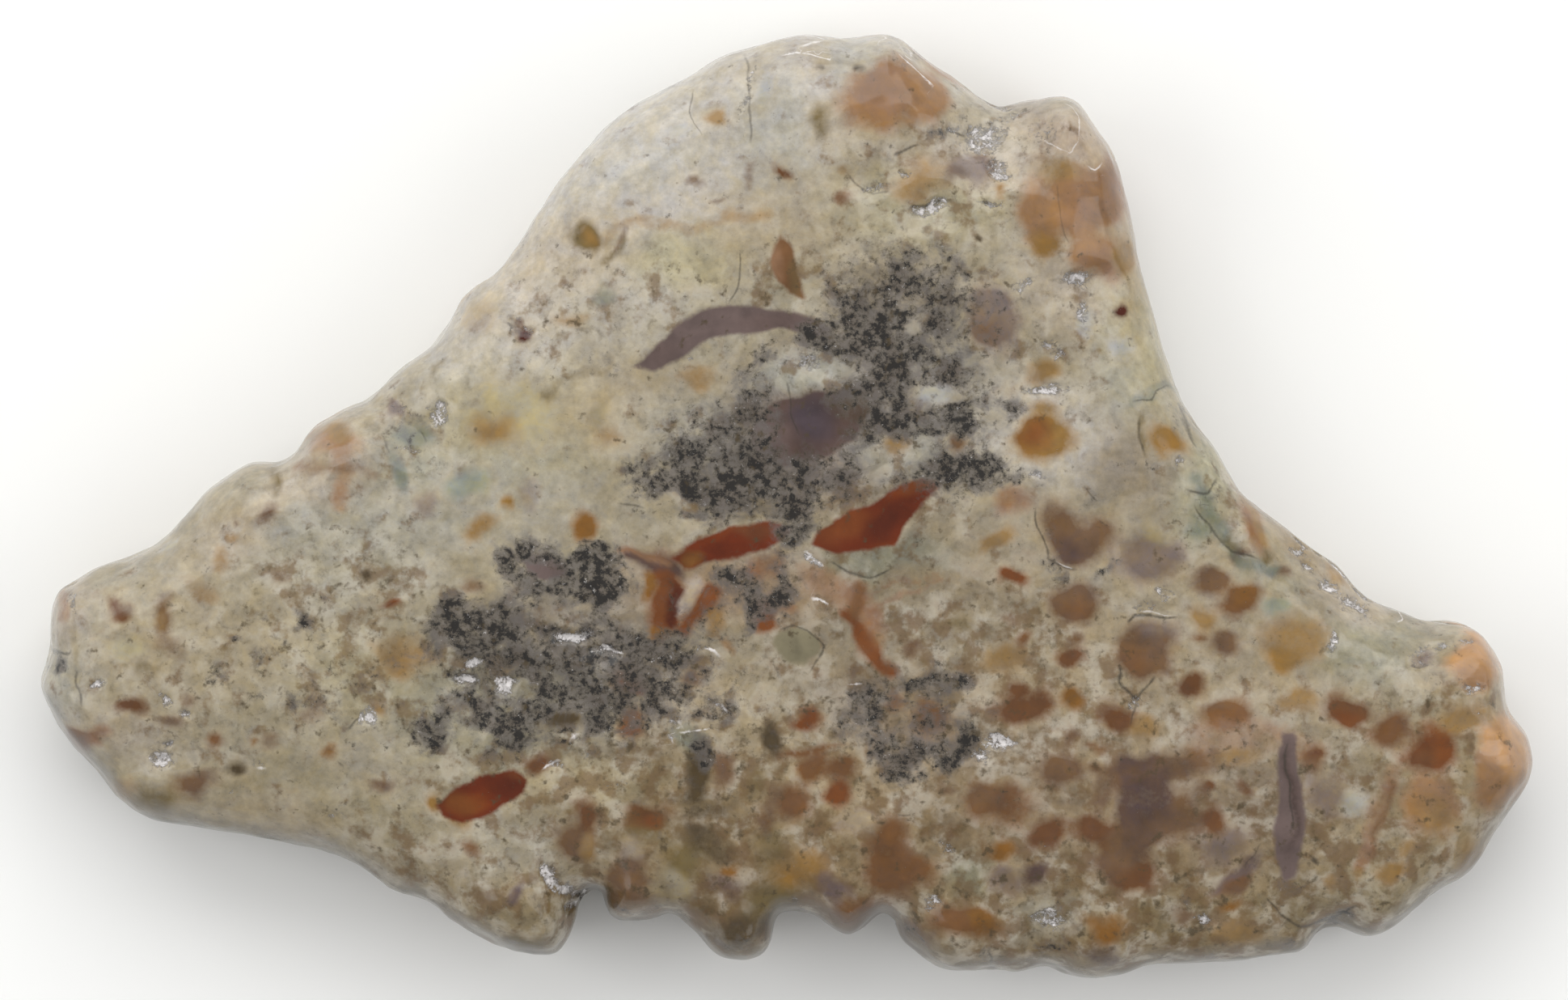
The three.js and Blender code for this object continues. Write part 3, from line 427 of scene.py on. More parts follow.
# Where black and brown dendrites crowd: x, y, half width, half height, turn in degrees, density
DENDRITES = [
    (570, 770, 34, 30, 0, 0.8), (612, 778, 34, 20, 0, 0.6), (570, 833, 20, 16, 0, 0.6),
    (600, 880, 46, 15, -28, 0.9), (640, 905, 30, 12, -10, 0.8), (532, 905, 24, 20, 0, 0.7),
    (725, 860, 18, 40, 0, 0.6), (740, 710, 28, 44, 0, 0.8), (820, 840, 34, 50, 0, 0.5),
    (868, 925, 14, 26, 0, 0.6), (905, 712, 26, 16, 0, 0.75), (930, 755, 9, 30, 0, 0.9),
    (965, 738, 26, 14, 0, 0.8), (980, 655, 30, 34, 0, 0.7), (968, 705, 12, 30, 0, 0.6),
    (765, 765, 16, 16, 0, 0.5), (1115, 375, 104, 78, 8, 0.45), (1040, 520, 200, 92, 10, 0.72),
    (1190, 592, 76, 32, 0, 0.65), (900, 590, 120, 60, 8, 0.66), (700, 830, 180, 90, -6, 0.45),
    (610, 780, 80, 50, 0, 0.3), (590, 893, 76, 40, 0, 0.3), (700, 705, 80, 44, 0, 0.6),
    (930, 735, 90, 56, 0, 0.35), (1115, 890, 100, 70, 0, 0.5), (900, 860, 90, 70, 0, 0.25),
    (1110, 370, 90, 62, 8, 0.54), (1080, 420, 100, 40, 0, 0.62), (1040, 425, 60, 18, 0, 0.6),
    (1120, 480, 60, 46, 0, 0.55), (1185, 520, 16, 26, 0, 0.9), (1155, 530, 18, 10, 0, 0.8),
    (935, 460, 30, 36, 0, 0.65), (1240, 505, 30, 20, 0, 0.35), (1215, 577, 28, 16, 0, 0.95),
    (1175, 585, 40, 18, 10, 0.75), (1245, 600, 20, 8, 0, 0.6), (915, 600, 60, 50, 0, 0.6),
    (845, 595, 36, 14, 0, 0.85), (800, 610, 34, 18, 0, 0.6), (860, 570, 60, 30, 0, 0.45),
    (785, 575, 20, 14, 0, 0.55), (985, 605, 50, 40, 0, 0.45), (985, 655, 30, 22, 0, 0.8),
    (905, 705, 20, 12, 0, 0.6), (925, 750, 24, 30, 0, 0.5), (870, 760, 30, 40, 0, 0.35),
    (750, 692, 14, 24, 0, 0.95), (735, 728, 40, 30, 0, 0.9), (650, 692, 34, 20, 0, 0.7),
    (690, 712, 40, 26, 0, 0.55), (560, 775, 26, 34, 0, 0.75), (600, 770, 50, 30, 0, 0.55),
    (640, 800, 70, 50, 0, 0.4), (740, 800, 70, 40, 0, 0.5), (720, 850, 90, 50, 0, 0.55),
    (820, 800, 50, 30, 0, 0.45), (605, 887, 32, 16, 0, 0.85), (645, 897, 34, 20, 0, 0.85),
    (540, 905, 26, 24, 0, 0.6), (690, 880, 80, 30, 0, 0.45), (760, 900, 40, 40, 0, 0.3),
    (862, 940, 18, 34, 0, 0.5), (890, 870, 26, 20, 0, 0.25), (1130, 846, 24, 10, 0, 0.85),
    (1180, 843, 32, 13, -5, 0.8), (1065, 865, 30, 26, 0, 0.55), (1105, 925, 26, 26, 0, 0.6),
    (1165, 932, 30, 22, 0, 0.95), (1118, 958, 26, 10, 0, 0.85), (1192, 912, 18, 20, 0, 0.8),
    (1050, 900, 30, 26, 0, 0.35), (1340, 620, 24, 14, 0, 0.2), (1300, 660, 10, 30, 0, 0.5),
    (1370, 700, 26, 12, 0, 0.45), (1300, 700, 26, 10, -20, 0.4), (1400, 575, 24, 12, 0, 0.35),
    (1455, 520, 14, 40, -20, 0.35), (1485, 625, 14, 50, -20, 0.4), (335, 760, 9, 10, 0, 0.6),
    (380, 770, 14, 14, 0, 0.65), (400, 746, 12, 8, 0, 0.45), (410, 790, 26, 18, 0, 0.35),
    (300, 783, 10, 8, 0, 0.5), (325, 806, 12, 14, 0, 0.5), (270, 828, 14, 20, 0, 0.5),
    (355, 795, 12, 8, 0, 0.45), (322, 857, 14, 8, 0, 0.5), (370, 860, 14, 10, 0, 0.5),
    (328, 876, 8, 8, 0, 0.45), (430, 900, 60, 50, 0, 0.22), (400, 820, 120, 60, 0, 0.2),
    (75, 822, 14, 16, 0, 0.55), (60, 800, 8, 16, 0, 0.6), (510, 530, 30, 24, 0, 0.35),
    (640, 405, 26, 10, 0, 0.3), (665, 282, 18, 12, 0, 0.25), (855, 352, 26, 10, 0, 0.25),
    (745, 452, 26, 18, 0, 0.3), (1165, 170, 22, 10, 0, 0.4), (1185, 145, 18, 10, 0, 0.35),
    (1230, 405, 40, 40, 0, 0.25), (660, 1172, 34, 10, 0, 0.75), (722, 1096, 12, 8, 0, 0.8),
    (820, 1036, 10, 12, 0, 0.5), (793, 990, 22, 8, 0, 0.45), (1225, 1175, 12, 14, 0, 0.6),
    (1290, 1165, 26, 14, 0, 0.4), (1290, 1120, 34, 24, 0, 0.3), (1600, 1165, 30, 10, 0, 0.4),
    (1495, 1182, 14, 8, 0, 0.5), (1460, 1112, 14, 8, 0, 0.45), (1650, 1138, 24, 9, 25, 0.8),
    (1590, 1090, 30, 30, 0, 0.3), (1500, 930, 60, 40, 0, 0.15), (1120, 1005, 18, 8, 0, 0.35),
    (410, 997, 26, 8, 0, 0.35), (900, 1160, 40, 12, 0, 0.35), (780, 1125, 30, 8, 0, 0.4),
    (1120, 1150, 14, 20, 40, 0.5), (1115, 80, 30, 14, -40, 0.25),
]

# Pale pools that the dendrites leave clear: x, y, half width, half height, turn in degrees, share
CLEARINGS = [
    (1004, 528, 62, 40, 14, 0.85), (680, 702, 22, 12, 0, 0.7), (990, 466, 58, 20, 6, 1.0),
    (1148, 492, 26, 16, 0, 0.9), (1105, 562, 40, 20, 10, 0.8), (1135, 400, 16, 12, 0, 0.6),
    (1230, 640, 60, 26, 0, 0.8), (850, 622, 18, 9, 0, 0.8), (800, 560, 24, 14, 0, 0.5),
    (700, 755, 40, 14, 0, 0.7), (790, 760, 34, 26, 0, 0.8), (570, 815, 20, 16, 0, 0.8),
    (640, 845, 24, 12, 0, 0.8), (700, 890, 20, 13, 0, 0.7), (800, 945, 60, 20, 0, 0.7),
    (895, 760, 26, 20, 0, 0.5), (1130, 770, 80, 40, 0, 0.8), (985, 798, 40, 26, 0, 1.0),
]

# White crusts of small quartz crystals: x, y, half width, half height, turn in degrees, density
CRUSTS = [
    (1215, 175, 34, 24, 20, 0.6), (1230, 215, 16, 16, 0, 0.65), (1222, 253, 18, 5, 10, 0.6),
    (1265, 348, 16, 8, 0, 0.45), (1330, 351, 24, 9, 0, 0.7), (1335, 390, 7, 14, 20, 0.6),
    (1300, 422, 12, 8, 0, 0.6), (1310, 440, 14, 8, 0, 0.5), (1290, 482, 34, 7, 0, 0.75),
    (1280, 592, 22, 6, 0, 0.5), (1112, 214, 14, 5, -15, 0.6), (1075, 238, 20, 6, 5, 0.55),
    (1150, 262, 30, 9, 10, 0.75), (925, 120, 6, 60, -6, 0.4), (545, 510, 20, 13, 0, 0.65),
    (495, 500, 16, 14, 0, 0.35), (517, 556, 20, 4, -5, 0.5), (655, 404, 14, 6, 0, 0.5),
    (998, 453, 26, 7, 0, 0.5), (845, 449, 14, 4, 20, 0.5), (710, 783, 18, 10, 0, 0.8),
    (752, 803, 20, 6, -8, 0.65), (585, 815, 13, 10, 0, 0.8), (632, 838, 16, 10, 0, 0.75),
    (575, 842, 17, 11, 0, 0.85), (628, 850, 14, 9, 0, 0.75), (882, 804, 20, 4, 0, 0.5),
    (830, 810, 10, 5, 0, 0.4), (837, 888, 9, 7, 0, 0.5), (825, 910, 8, 6, 0, 0.4),
    (890, 872, 20, 4, -30, 0.5), (890, 896, 14, 3, 0, 0.4), (727, 927, 9, 6, 0, 0.5),
    (762, 965, 20, 4, 0, 0.5), (690, 940, 12, 7, 0, 0.55), (125, 842, 14, 5, 0, 0.8),
    (215, 860, 9, 8, 0, 0.7), (235, 876, 12, 7, 0, 0.6), (212, 911, 12, 5, 0, 0.7),
    (212, 935, 18, 14, 0, 0.75), (98, 742, 6, 14, 15, 0.45), (296, 968, 12, 5, 45, 0.5),
    (336, 943, 14, 4, 0, 0.4), (458, 883, 16, 12, 45, 0.65), (412, 1004, 16, 6, 0, 0.45),
    (678, 1082, 14, 16, 0, 0.8), (702, 1090, 18, 9, 0, 0.75), (706, 1110, 10, 8, 0, 0.6),
    (640, 1114, 12, 6, 0, 0.5), (1010, 694, 16, 5, -15, 0.6), (1230, 912, 20, 8, 0, 0.85),
    (1210, 930, 16, 12, 0, 0.6), (1175, 160, 16, 9, 0, 0.5), (1437, 732, 14, 8, 0, 0.5),
    (1400, 860, 10, 12, 0, 0.45), (1420, 750, 30, 5, 0, 0.4), (1150, 1115, 12, 9, 0, 0.65),
    (1165, 1042, 10, 14, 20, 0.6), (1290, 1132, 28, 12, 0, 0.65), (1605, 674, 10, 8, 0, 0.6),
    (1614, 692, 10, 8, 0, 0.6), (1638, 722, 16, 11, -30, 0.8), (1672, 748, 26, 10, -25, 0.7),
    (1638, 790, 8, 15, 0, 0.7), (1758, 800, 24, 7, 8, 0.5), (1752, 815, 20, 9, 0, 0.4),
    (1798, 790, 12, 7, 0, 0.5), (1812, 845, 16, 7, 0, 0.6), (1480, 1130, 14, 9, 0, 0.75),
    (1455, 571, 6, 6, 0, 0.6), (850, 103, 8, 8, 0, 0.3), (880, 341, 8, 6, 0, 0.4),
    (1290, 170, 24, 12, 30, 0.35), (1250, 150, 20, 10, 20, 0.4), (1465, 900, 10, 6, 0, 0.2),
    (1820, 870, 16, 6, 20, 0.35), (980, 1110, 12, 5, 0, 0.3),
]

# Hairline cracks and dark seams: half width in mm, depth 0 to 1, points
CRACKS = [
    (0.08, 0.6, [(918, 65), (925, 105), (933, 150), (930, 182)]),
    (0.06, 0.6, [(860, 115), (857, 150), (868, 175)]), (0.06, 0.7, [(922, 310), (912, 345), (902, 376)]),
    (0.10, 0.9, [(1165, 160), (1180, 167), (1197, 172)]),
    (0.10, 0.9, [(1118, 266), (1130, 258), (1160, 256), (1182, 254)]),
    (0.09, 0.8, [(1098, 196), (1126, 188), (1140, 182)]),
    (0.07, 0.6, [(1048, 218), (1058, 232), (1078, 246), (1100, 240)]),
    (0.06, 0.5, [(1208, 250), (1225, 258), (1238, 248)]), (0.07, 0.7, [(970, 470), (982, 510), (990, 545)]),
    (0.08, 0.8, [(1028, 690), (1050, 701), (1080, 706), (1108, 705)]),
    (0.07, 0.7, [(960, 776), (980, 771), (1002, 780), (1019, 800), (1001, 830)]),
    (0.09, 0.9, [(1384, 768), (1400, 756), (1420, 757), (1452, 763)]),
    (0.09, 0.9, [(1374, 818), (1384, 845), (1402, 857), (1424, 832)]),
    (0.07, 0.7, [(1402, 858), (1400, 876), (1393, 892)]),
    (0.08, 0.8, [(1276, 628), (1284, 660), (1292, 690), (1330, 702)]),
    (0.06, 0.6, [(1348, 640), (1366, 656)]), (0.06, 0.6, [(1334, 600), (1346, 612), (1356, 622)]),
    (0.08, 0.7, [(1400, 518), (1402, 545), (1411, 572)]),
    (0.07, 0.7, [(1392, 500), (1420, 496), (1442, 480)]),
    (0.08, 0.8, [(1452, 500), (1470, 530), (1478, 556)]),
    (0.08, 0.8, [(1456, 606), (1482, 611), (1500, 586)]),
    (0.07, 0.7, [(1466, 620), (1486, 650), (1520, 680), (1552, 690)]),
    (0.08, 0.8, [(1552, 1108), (1576, 1126), (1600, 1139), (1642, 1141), (1676, 1115)]),
    (0.07, 0.7, [(1102, 998), (1112, 1002), (1128, 1000)]),
    (0.10, 0.9, [(52, 838), (60, 822), (72, 806), (100, 800)]),
    (0.08, 0.8, [(100, 818), (105, 848), (109, 868)]), (0.07, 0.7, [(434, 902), (446, 888), (458, 878)]),
    (0.07, 0.7, [(424, 934), (438, 942)]), (0.06, 0.6, [(520, 528), (532, 550)]),
    (0.06, 0.6, [(480, 538), (492, 562)]), (0.06, 0.6, [(624, 399), (642, 409)]),
    (0.06, 0.7, [(718, 667), (737, 670)]), (0.07, 0.7, [(764, 621), (782, 629), (802, 633)]),
    (0.08, 0.8, [(664, 904), (640, 916)]), (0.07, 0.7, [(1122, 928), (1136, 934), (1148, 950)]),
    (0.06, 0.5, [(1555, 1038), (1544, 1056), (1528, 1072)]),
    (0.08, 0.8, [(1583, 912), (1583, 960), (1581, 1030)]), (0.08, 0.8, [(1225, 1165), (1228, 1196)]),
    (0.06, 0.6, [(1735, 815), (1750, 822), (1766, 818)]),
    (0.06, 0.5, [(1135, 60), (1160, 90), (1200, 116)]),
    (0.07, 0.6, [(1640, 700), (1662, 716), (1690, 742)]),
    (0.05, 0.4, [(1303, 230), (1306, 270), (1318, 306)]),
]

# White hairlines, partly quartz and partly painted glints along ridges: half width in mm, depth 0 to 1,
# points
VEINS_AND_GLINTS = [
    (0.05, 0.8, [(965, 73), (980, 76), (1000, 73), (1030, 79)]), (0.05, 0.7, [(988, 66), (1018, 50)]),
    (0.05, 0.7, [(1085, 65), (1090, 52), (1100, 48), (1118, 60), (1130, 78)]),
    (0.06, 0.8, [(1105, 75), (1125, 85), (1155, 112)]),
    (0.04, 0.5, [(1317, 126), (1331, 149), (1333, 177), (1320, 194), (1300, 183), (1286, 177)]),
    (0.05, 0.7, [(1340, 205), (1350, 213), (1360, 205)]), (0.06, 0.7, [(325, 945), (340, 948)]),
    (0.09, 1.0, [(998, 682), (1010, 693), (1024, 700)]),
    (0.09, 0.9, [(1003, 736), (1015, 740), (1027, 747)]), (0.08, 0.9, [(874, 803), (890, 805), (899, 811)]),
    (0.08, 0.9, [(824, 904), (832, 917)]), (0.07, 0.8, [(838, 885), (847, 896)]),
    (0.07, 0.8, [(890, 866), (901, 879)]), (0.07, 0.8, [(705, 915), (721, 904)]),
    (0.07, 0.8, [(672, 948), (690, 940), (698, 932)]), (0.08, 0.9, [(738, 797), (758, 802), (776, 806)]),
    (0.06, 0.7, [(838, 900), (860, 899), (882, 898)]), (0.06, 0.7, [(1043, 840), (1066, 843)]),
    (0.05, 0.6, [(1720, 775), (1755, 740)]), (0.04, 0.4, [(1405, 752), (1430, 755), (1452, 760)]),
    (0.05, 0.4, [(1300, 690), (1326, 700)]),
]


def linear(hex_colour):
    """An sRGB hex colour as linear red, green and blue."""
    shares = [int(hex_colour[i : i + 2], 16) / 255 for i in (1, 3, 5)]
    return tuple(c / 12.92 if c <= 0.04045 else ((c + 0.055) / 1.055) ** 2.4 for c in shares)


def stone_colour(shown):
    """The stone's own linear colour, of which the stage's light makes the one shown."""
    return tuple(max(0.002, (c - GLOSS) / LIGHT) for c in linear(shown))


def node(tree, kind, inputs=None, **settings):
    """Adds a node, sets its options, and links or sets its inputs."""
    made = tree.nodes.new(kind)
    for name, value in settings.items():
        setattr(made, name, value)
    for socket, value in (inputs or {}).items():
        if isinstance(value, bpy.types.NodeSocket):
            tree.links.new(value, made.inputs[socket])
        else:
            made.inputs[socket].default_value = value
    return made


def photo_places(points):
    """Where points of the stone, in metres, lie in the photograph, in pixels, with y downwards."""
    low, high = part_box("coprolite")
    across = (points[:, 0] - low.x) / (high.x - low.x)
    down = (high.y - points[:, 1]) / (high.y - low.y)
    return np.column_stack((
        OUTLINE_LEFT + across * (OUTLINE_RIGHT - OUTLINE_LEFT),
        OUTLINE_TOP + down * (OUTLINE_BOTTOM - OUTLINE_TOP),
    ))


def swell(points, period, rng, waves=14):
    """A smooth random swell over points, about -1 to 1, with waves of about that period."""
    ways = rng.normal(size=(waves, 3))
    ways /= np.linalg.norm(ways, axis=1)[:, None]
    lengths = period * rng.uniform(0.7, 1.5, waves)
    phases = rng.uniform(0, 2 * math.pi, waves)
    swings = np.sin(points @ (ways / lengths[:, None]).T * 2 * math.pi + phases)
    return swings.sum(1) / math.sqrt(waves / 2) / 1.6


def ease(values, start, end):
    """0 at start, 1 at end, and smooth between."""
    t = np.clip((values - start) / (end - start), 0, 1)
    return t * t * (3 - 2 * t)


def oval(places, x, y, half_width, half_height, turn):
    """How far each place is from an oval's middle, where its rim is at 1. The turn is anticlockwise."""
    right = places[:, 0] - x
    up = y - places[:, 1]
    cos, sin = math.cos(math.radians(turn)), math.sin(math.radians(turn))
    return np.hypot((right * cos + up * sin) / half_width, (up * cos - right * sin) / half_height)


def to_line(places, points):
    """Distance from each place to a line through points, its side, and how far it is from the nearer end."""
    nearest = np.full(len(places), np.inf)
    side = np.ones(len(places))
    along = np.zeros(len(places))
    lengths = [math.dist(a, b) for a, b in zip(points, points[1:])]
    whole = sum(lengths)
    walked = 0.0
    for (ax, ay), (bx, by), length in zip(points, points[1:], lengths):
        dx, dy = (bx - ax) / length, (by - ay) / length
        px, py = places[:, 0] - ax, places[:, 1] - ay
        run = px * dx + py * dy
        held = np.clip(run, 0, length)
        off = np.hypot(px - held * dx, py - held * dy)
        closer = off < nearest
        nearest = np.where(closer, off, nearest)
        side = np.where(closer, np.sign(px * dy - py * dx), side)
        from_end = np.minimum(walked + run, whole - walked - run)
        along = np.where(closer, from_end, along)
        walked += length
    return nearest, side, along


def inside(places, points):
    """Which places lie inside the ring of points."""
    within = np.zeros(len(places), bool)
    for (ax, ay), (bx, by) in zip(points, points[1:] + points[:1]):
        crosses = (ay > places[:, 1]) != (by > places[:, 1])
        if ay != by:
            reach = ax + (places[:, 1] - ay) * (bx - ax) / (by - ay)
            within ^= crosses & (places[:, 0] < reach)
    return within


class CoproliteStone(bpy.types.PropertyGroup):
    """Finish of the slab."""

    ground: bpy.props.FloatVectorProperty(
        name="Ground", description="Pale chalcedony between the cells", subtype="COLOR",
        size=3, min=0, max=1, default=stone_colour("#A69C86"),
    )
    dendrite: bpy.props.FloatVectorProperty(
        name="Dendrites", description="Black mineral grown into the chalcedony", subtype="COLOR",
        size=3, min=0, max=1, default=linear("#1D1B19"),
    )
    crust: bpy.props.FloatVectorProperty(
        name="Crystal crust", description="White quartz crystals in the pits", subtype="COLOR",
        size=3, min=0, max=1, default=linear("#E9E4E2"),
    )
    polish: bpy.props.FloatProperty(
        name="Roughness", description="Roughness of the polished face", subtype="FACTOR",
        min=0, max=1, default=0.14,
    )
    pit_depth: bpy.props.FloatProperty(
        name="Pit depth", description="Depth of the crystal pits", subtype="DISTANCE", unit="LENGTH",
        min=0, max=0.001, default=0.28 * MM,
    )
    crack_depth: bpy.props.FloatProperty(
        name="Crack depth", description="Depth of the open hairline cracks", subtype="DISTANCE",
        unit="LENGTH", min=0, max=0.0005, default=0.08 * MM,
    )
    swell_height: bpy.props.FloatProperty(
        name="Swell", description="Height of the tumbled face's low waves", subtype="DISTANCE", unit="LENGTH",
        min=0, max=0.0005, default=0.045 * MM,
    )


class CoproliteStage(bpy.types.PropertyGroup):
    """Floor, light and camera."""

    floor: bpy.props.FloatVectorProperty(
        name="Floor", description="Colour of the pale floor", subtype="COLOR",
        size=3, min=0, max=1, default=linear("#FAFAF8"),
    )
    camera_height: bpy.props.FloatProperty(
        name="Camera height", description="Camera's height above the slab's widest level",
        subtype="DISTANCE", unit="LENGTH", min=0.2, max=2, default=0.553,
    )


def with_modifier(mesh, kind, groups=None, **settings):
    """The mesh with one modifier applied, which may work on a named group of vertices alone."""
    holder = bpy.data.objects.new("slab_work", mesh)
    bpy.context.scene.collection.objects.link(holder)
    for name, members in (groups or {}).items():
        holder.vertex_groups.new(name=name).add(members, 1.0, "REPLACE")
    modifier = holder.modifiers.new(kind.lower(), kind)
    for name, value in settings.items():
        setattr(modifier, name, value)
    made = bpy.data.meshes.new_from_object(holder.evaluated_get(bpy.context.evaluated_depsgraph_get()))
    bpy.data.objects.remove(holder)
    bpy.data.meshes.remove(mesh)
    return made


def smooth_slab():
    """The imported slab's form in smooth, finer mesh: finest on the marked face, and coarser behind."""
    slab = bmesh.new()
    slab.from_mesh(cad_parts["coprolite"].data)
    bmesh.ops.remove_doubles(slab, verts=slab.verts, dist=0.001 * MM)
    bmesh.ops.join_triangles(
        slab, faces=slab.faces, angle_face_threshold=math.radians(40), angle_shape_threshold=math.radians(60)
    )
    mesh = bpy.data.meshes.new("slab_cage")
    slab.to_mesh(mesh)
    slab.free()
    mesh = with_modifier(mesh, "SUBSURF", levels=2, render_levels=2)

    slab = bmesh.new()
    slab.from_mesh(mesh)
    slab.normal_update()
    bmesh.ops.poke(slab, faces=[face for face in slab.faces if face.normal.z > FACE_SLOPE])
    slab.to_mesh(mesh)
    slab.free()
    triangles = sum(len(face.vertices) - 2 for face in mesh.polygons)
    behind = np.nonzero(mesh_values(mesh, "normal")[:, 2] < BEHIND_SLOPE)[0].tolist()
    mesh = with_modifier(
        mesh, "DECIMATE", {"behind": behind}, ratio=min(1, MOST_TRIANGLES / triangles), vertex_group="behind"
    )
    mesh.name = "coprolite_stone"
    return mesh


def mesh_values(mesh, what):
    """The places or normals of a mesh's vertices as rows."""
    rows = np.zeros(len(mesh.vertices) * 3)
    if what == "place":
        mesh.vertices.foreach_get("co", rows)
    else:
        mesh.vertex_normals.foreach_get("vector", rows)
    return rows.reshape(-1, 3)


def back_marks(rng):
    """Cells and dendrites for the sawn back, which no picture shows: the face's kinds, placed by chance."""
    cells = []
    for _ in range(BACK_CELLS):
        x, y = rng.uniform(OUTLINE_LEFT, OUTLINE_RIGHT), rng.uniform(OUTLINE_TOP, OUTLINE_BOTTOM)
        half = rng.uniform(10, 34)
        shade = ["umber", "clay", "chestnut", "tan", "lilac", "ochre", "sage", "rose"][int(rng.integers(8))]
        height, turn, strength = half * rng.uniform(0.6, 1), rng.uniform(0, 180), rng.uniform(0.4, 0.9)
        cells.append((x, y, half, height, turn, shade, strength))
    dark = []
    for _ in range(BACK_DARKS):
        x, y = rng.normal(1000, 260), rng.normal(700, 150)
        width, height, turn = rng.uniform(20, 90), rng.uniform(14, 50), rng.uniform(0, 60)
        dark.append((x, y, width, height, turn, rng.uniform(0.3, 0.8)))
    return cells, dark


def cover_of(places, cells, streaks, shades):
    """Cover, 0 to 1, and colour of the nearest cells and streaks."""
    cover = np.zeros(len(places))
    weights = np.full(len(places), 1e-6)
    tint = np.tile(np.array(shades["umber"]) * 1e-6, (len(places), 1))
    for x, y, half_width, half_height, turn, shade, strength in cells:
        away = oval(places, x, y, half_width, half_height, turn)
        smaller = min(half_width, half_height)
        soft = min(CELL_SOFTNESS, 1.5 + 0.55 * smaller)
        here = strength**0.65 * ease((away - 1) * smaller, soft, -soft)
        pull = (0.01 + here) / (away**2 + 0.15) / half_width**2
        cover = cover + here * (1 - cover)
        weights += pull
        tint += pull[:, None] * np.array(shades[shade])
    for shade, strength, half_width, points in streaks:
        away = to_line(places, points)[0] / half_width
        soft = min(CELL_SOFTNESS, 2 + 0.6 * half_width)
        here = strength * ease((away - 1) * half_width, soft, -soft)
        pull = (0.01 + here) / (away**2 + 0.15) / half_width**2
        cover = cover + here * (1 - cover)
        weights += pull
        tint += pull[:, None] * np.array(shades[shade])
    return cover, tint / weights[:, None]


def density_of(places, marks):
    """Density, 0 to 1, of marks that crowd in ovals."""
    density = np.zeros(len(places))
    for x, y, half_width, half_height, turn, strength in marks:
        here = strength * ease(oval(places, x, y, half_width, half_height, turn), 1.5, 0.3)
        density = density + here * (1 - density)
    return density


def paint_values(mesh, name, values):
    """Keeps values, one number or one colour a vertex, under a name that the material reads."""
    if values.ndim == 1:
        mesh.attributes.new(name, "FLOAT", "POINT").data.foreach_set("value", values.astype(np.float32))
    else:
        rows = np.column_stack((values, np.ones(len(values)))).astype(np.float32)
        mesh.attributes.new(name, "FLOAT_COLOR", "POINT").data.foreach_set("color", rows.ravel())


def line_values(places, lines, pixel):
    """How far each place is off the nearest line, signed by side, 0.08 at its half width, and its share."""
    side = np.full(len(places), 3.0)
    share = np.zeros(len(places))
    for half_width, strength, line in lines:
        off, hand, along = to_line(places, line)
        off = off * pixel / MM
        closer = (off < np.abs(side)) & (along > 0)
        ends = ease(along * pixel / MM, 0, 0.5)
        side = np.where(closer, hand * off / (half_width / 0.08), side)
        share = np.where(closer, strength * ends * ease(off, 0.95, 0.65), share)
    return side, share


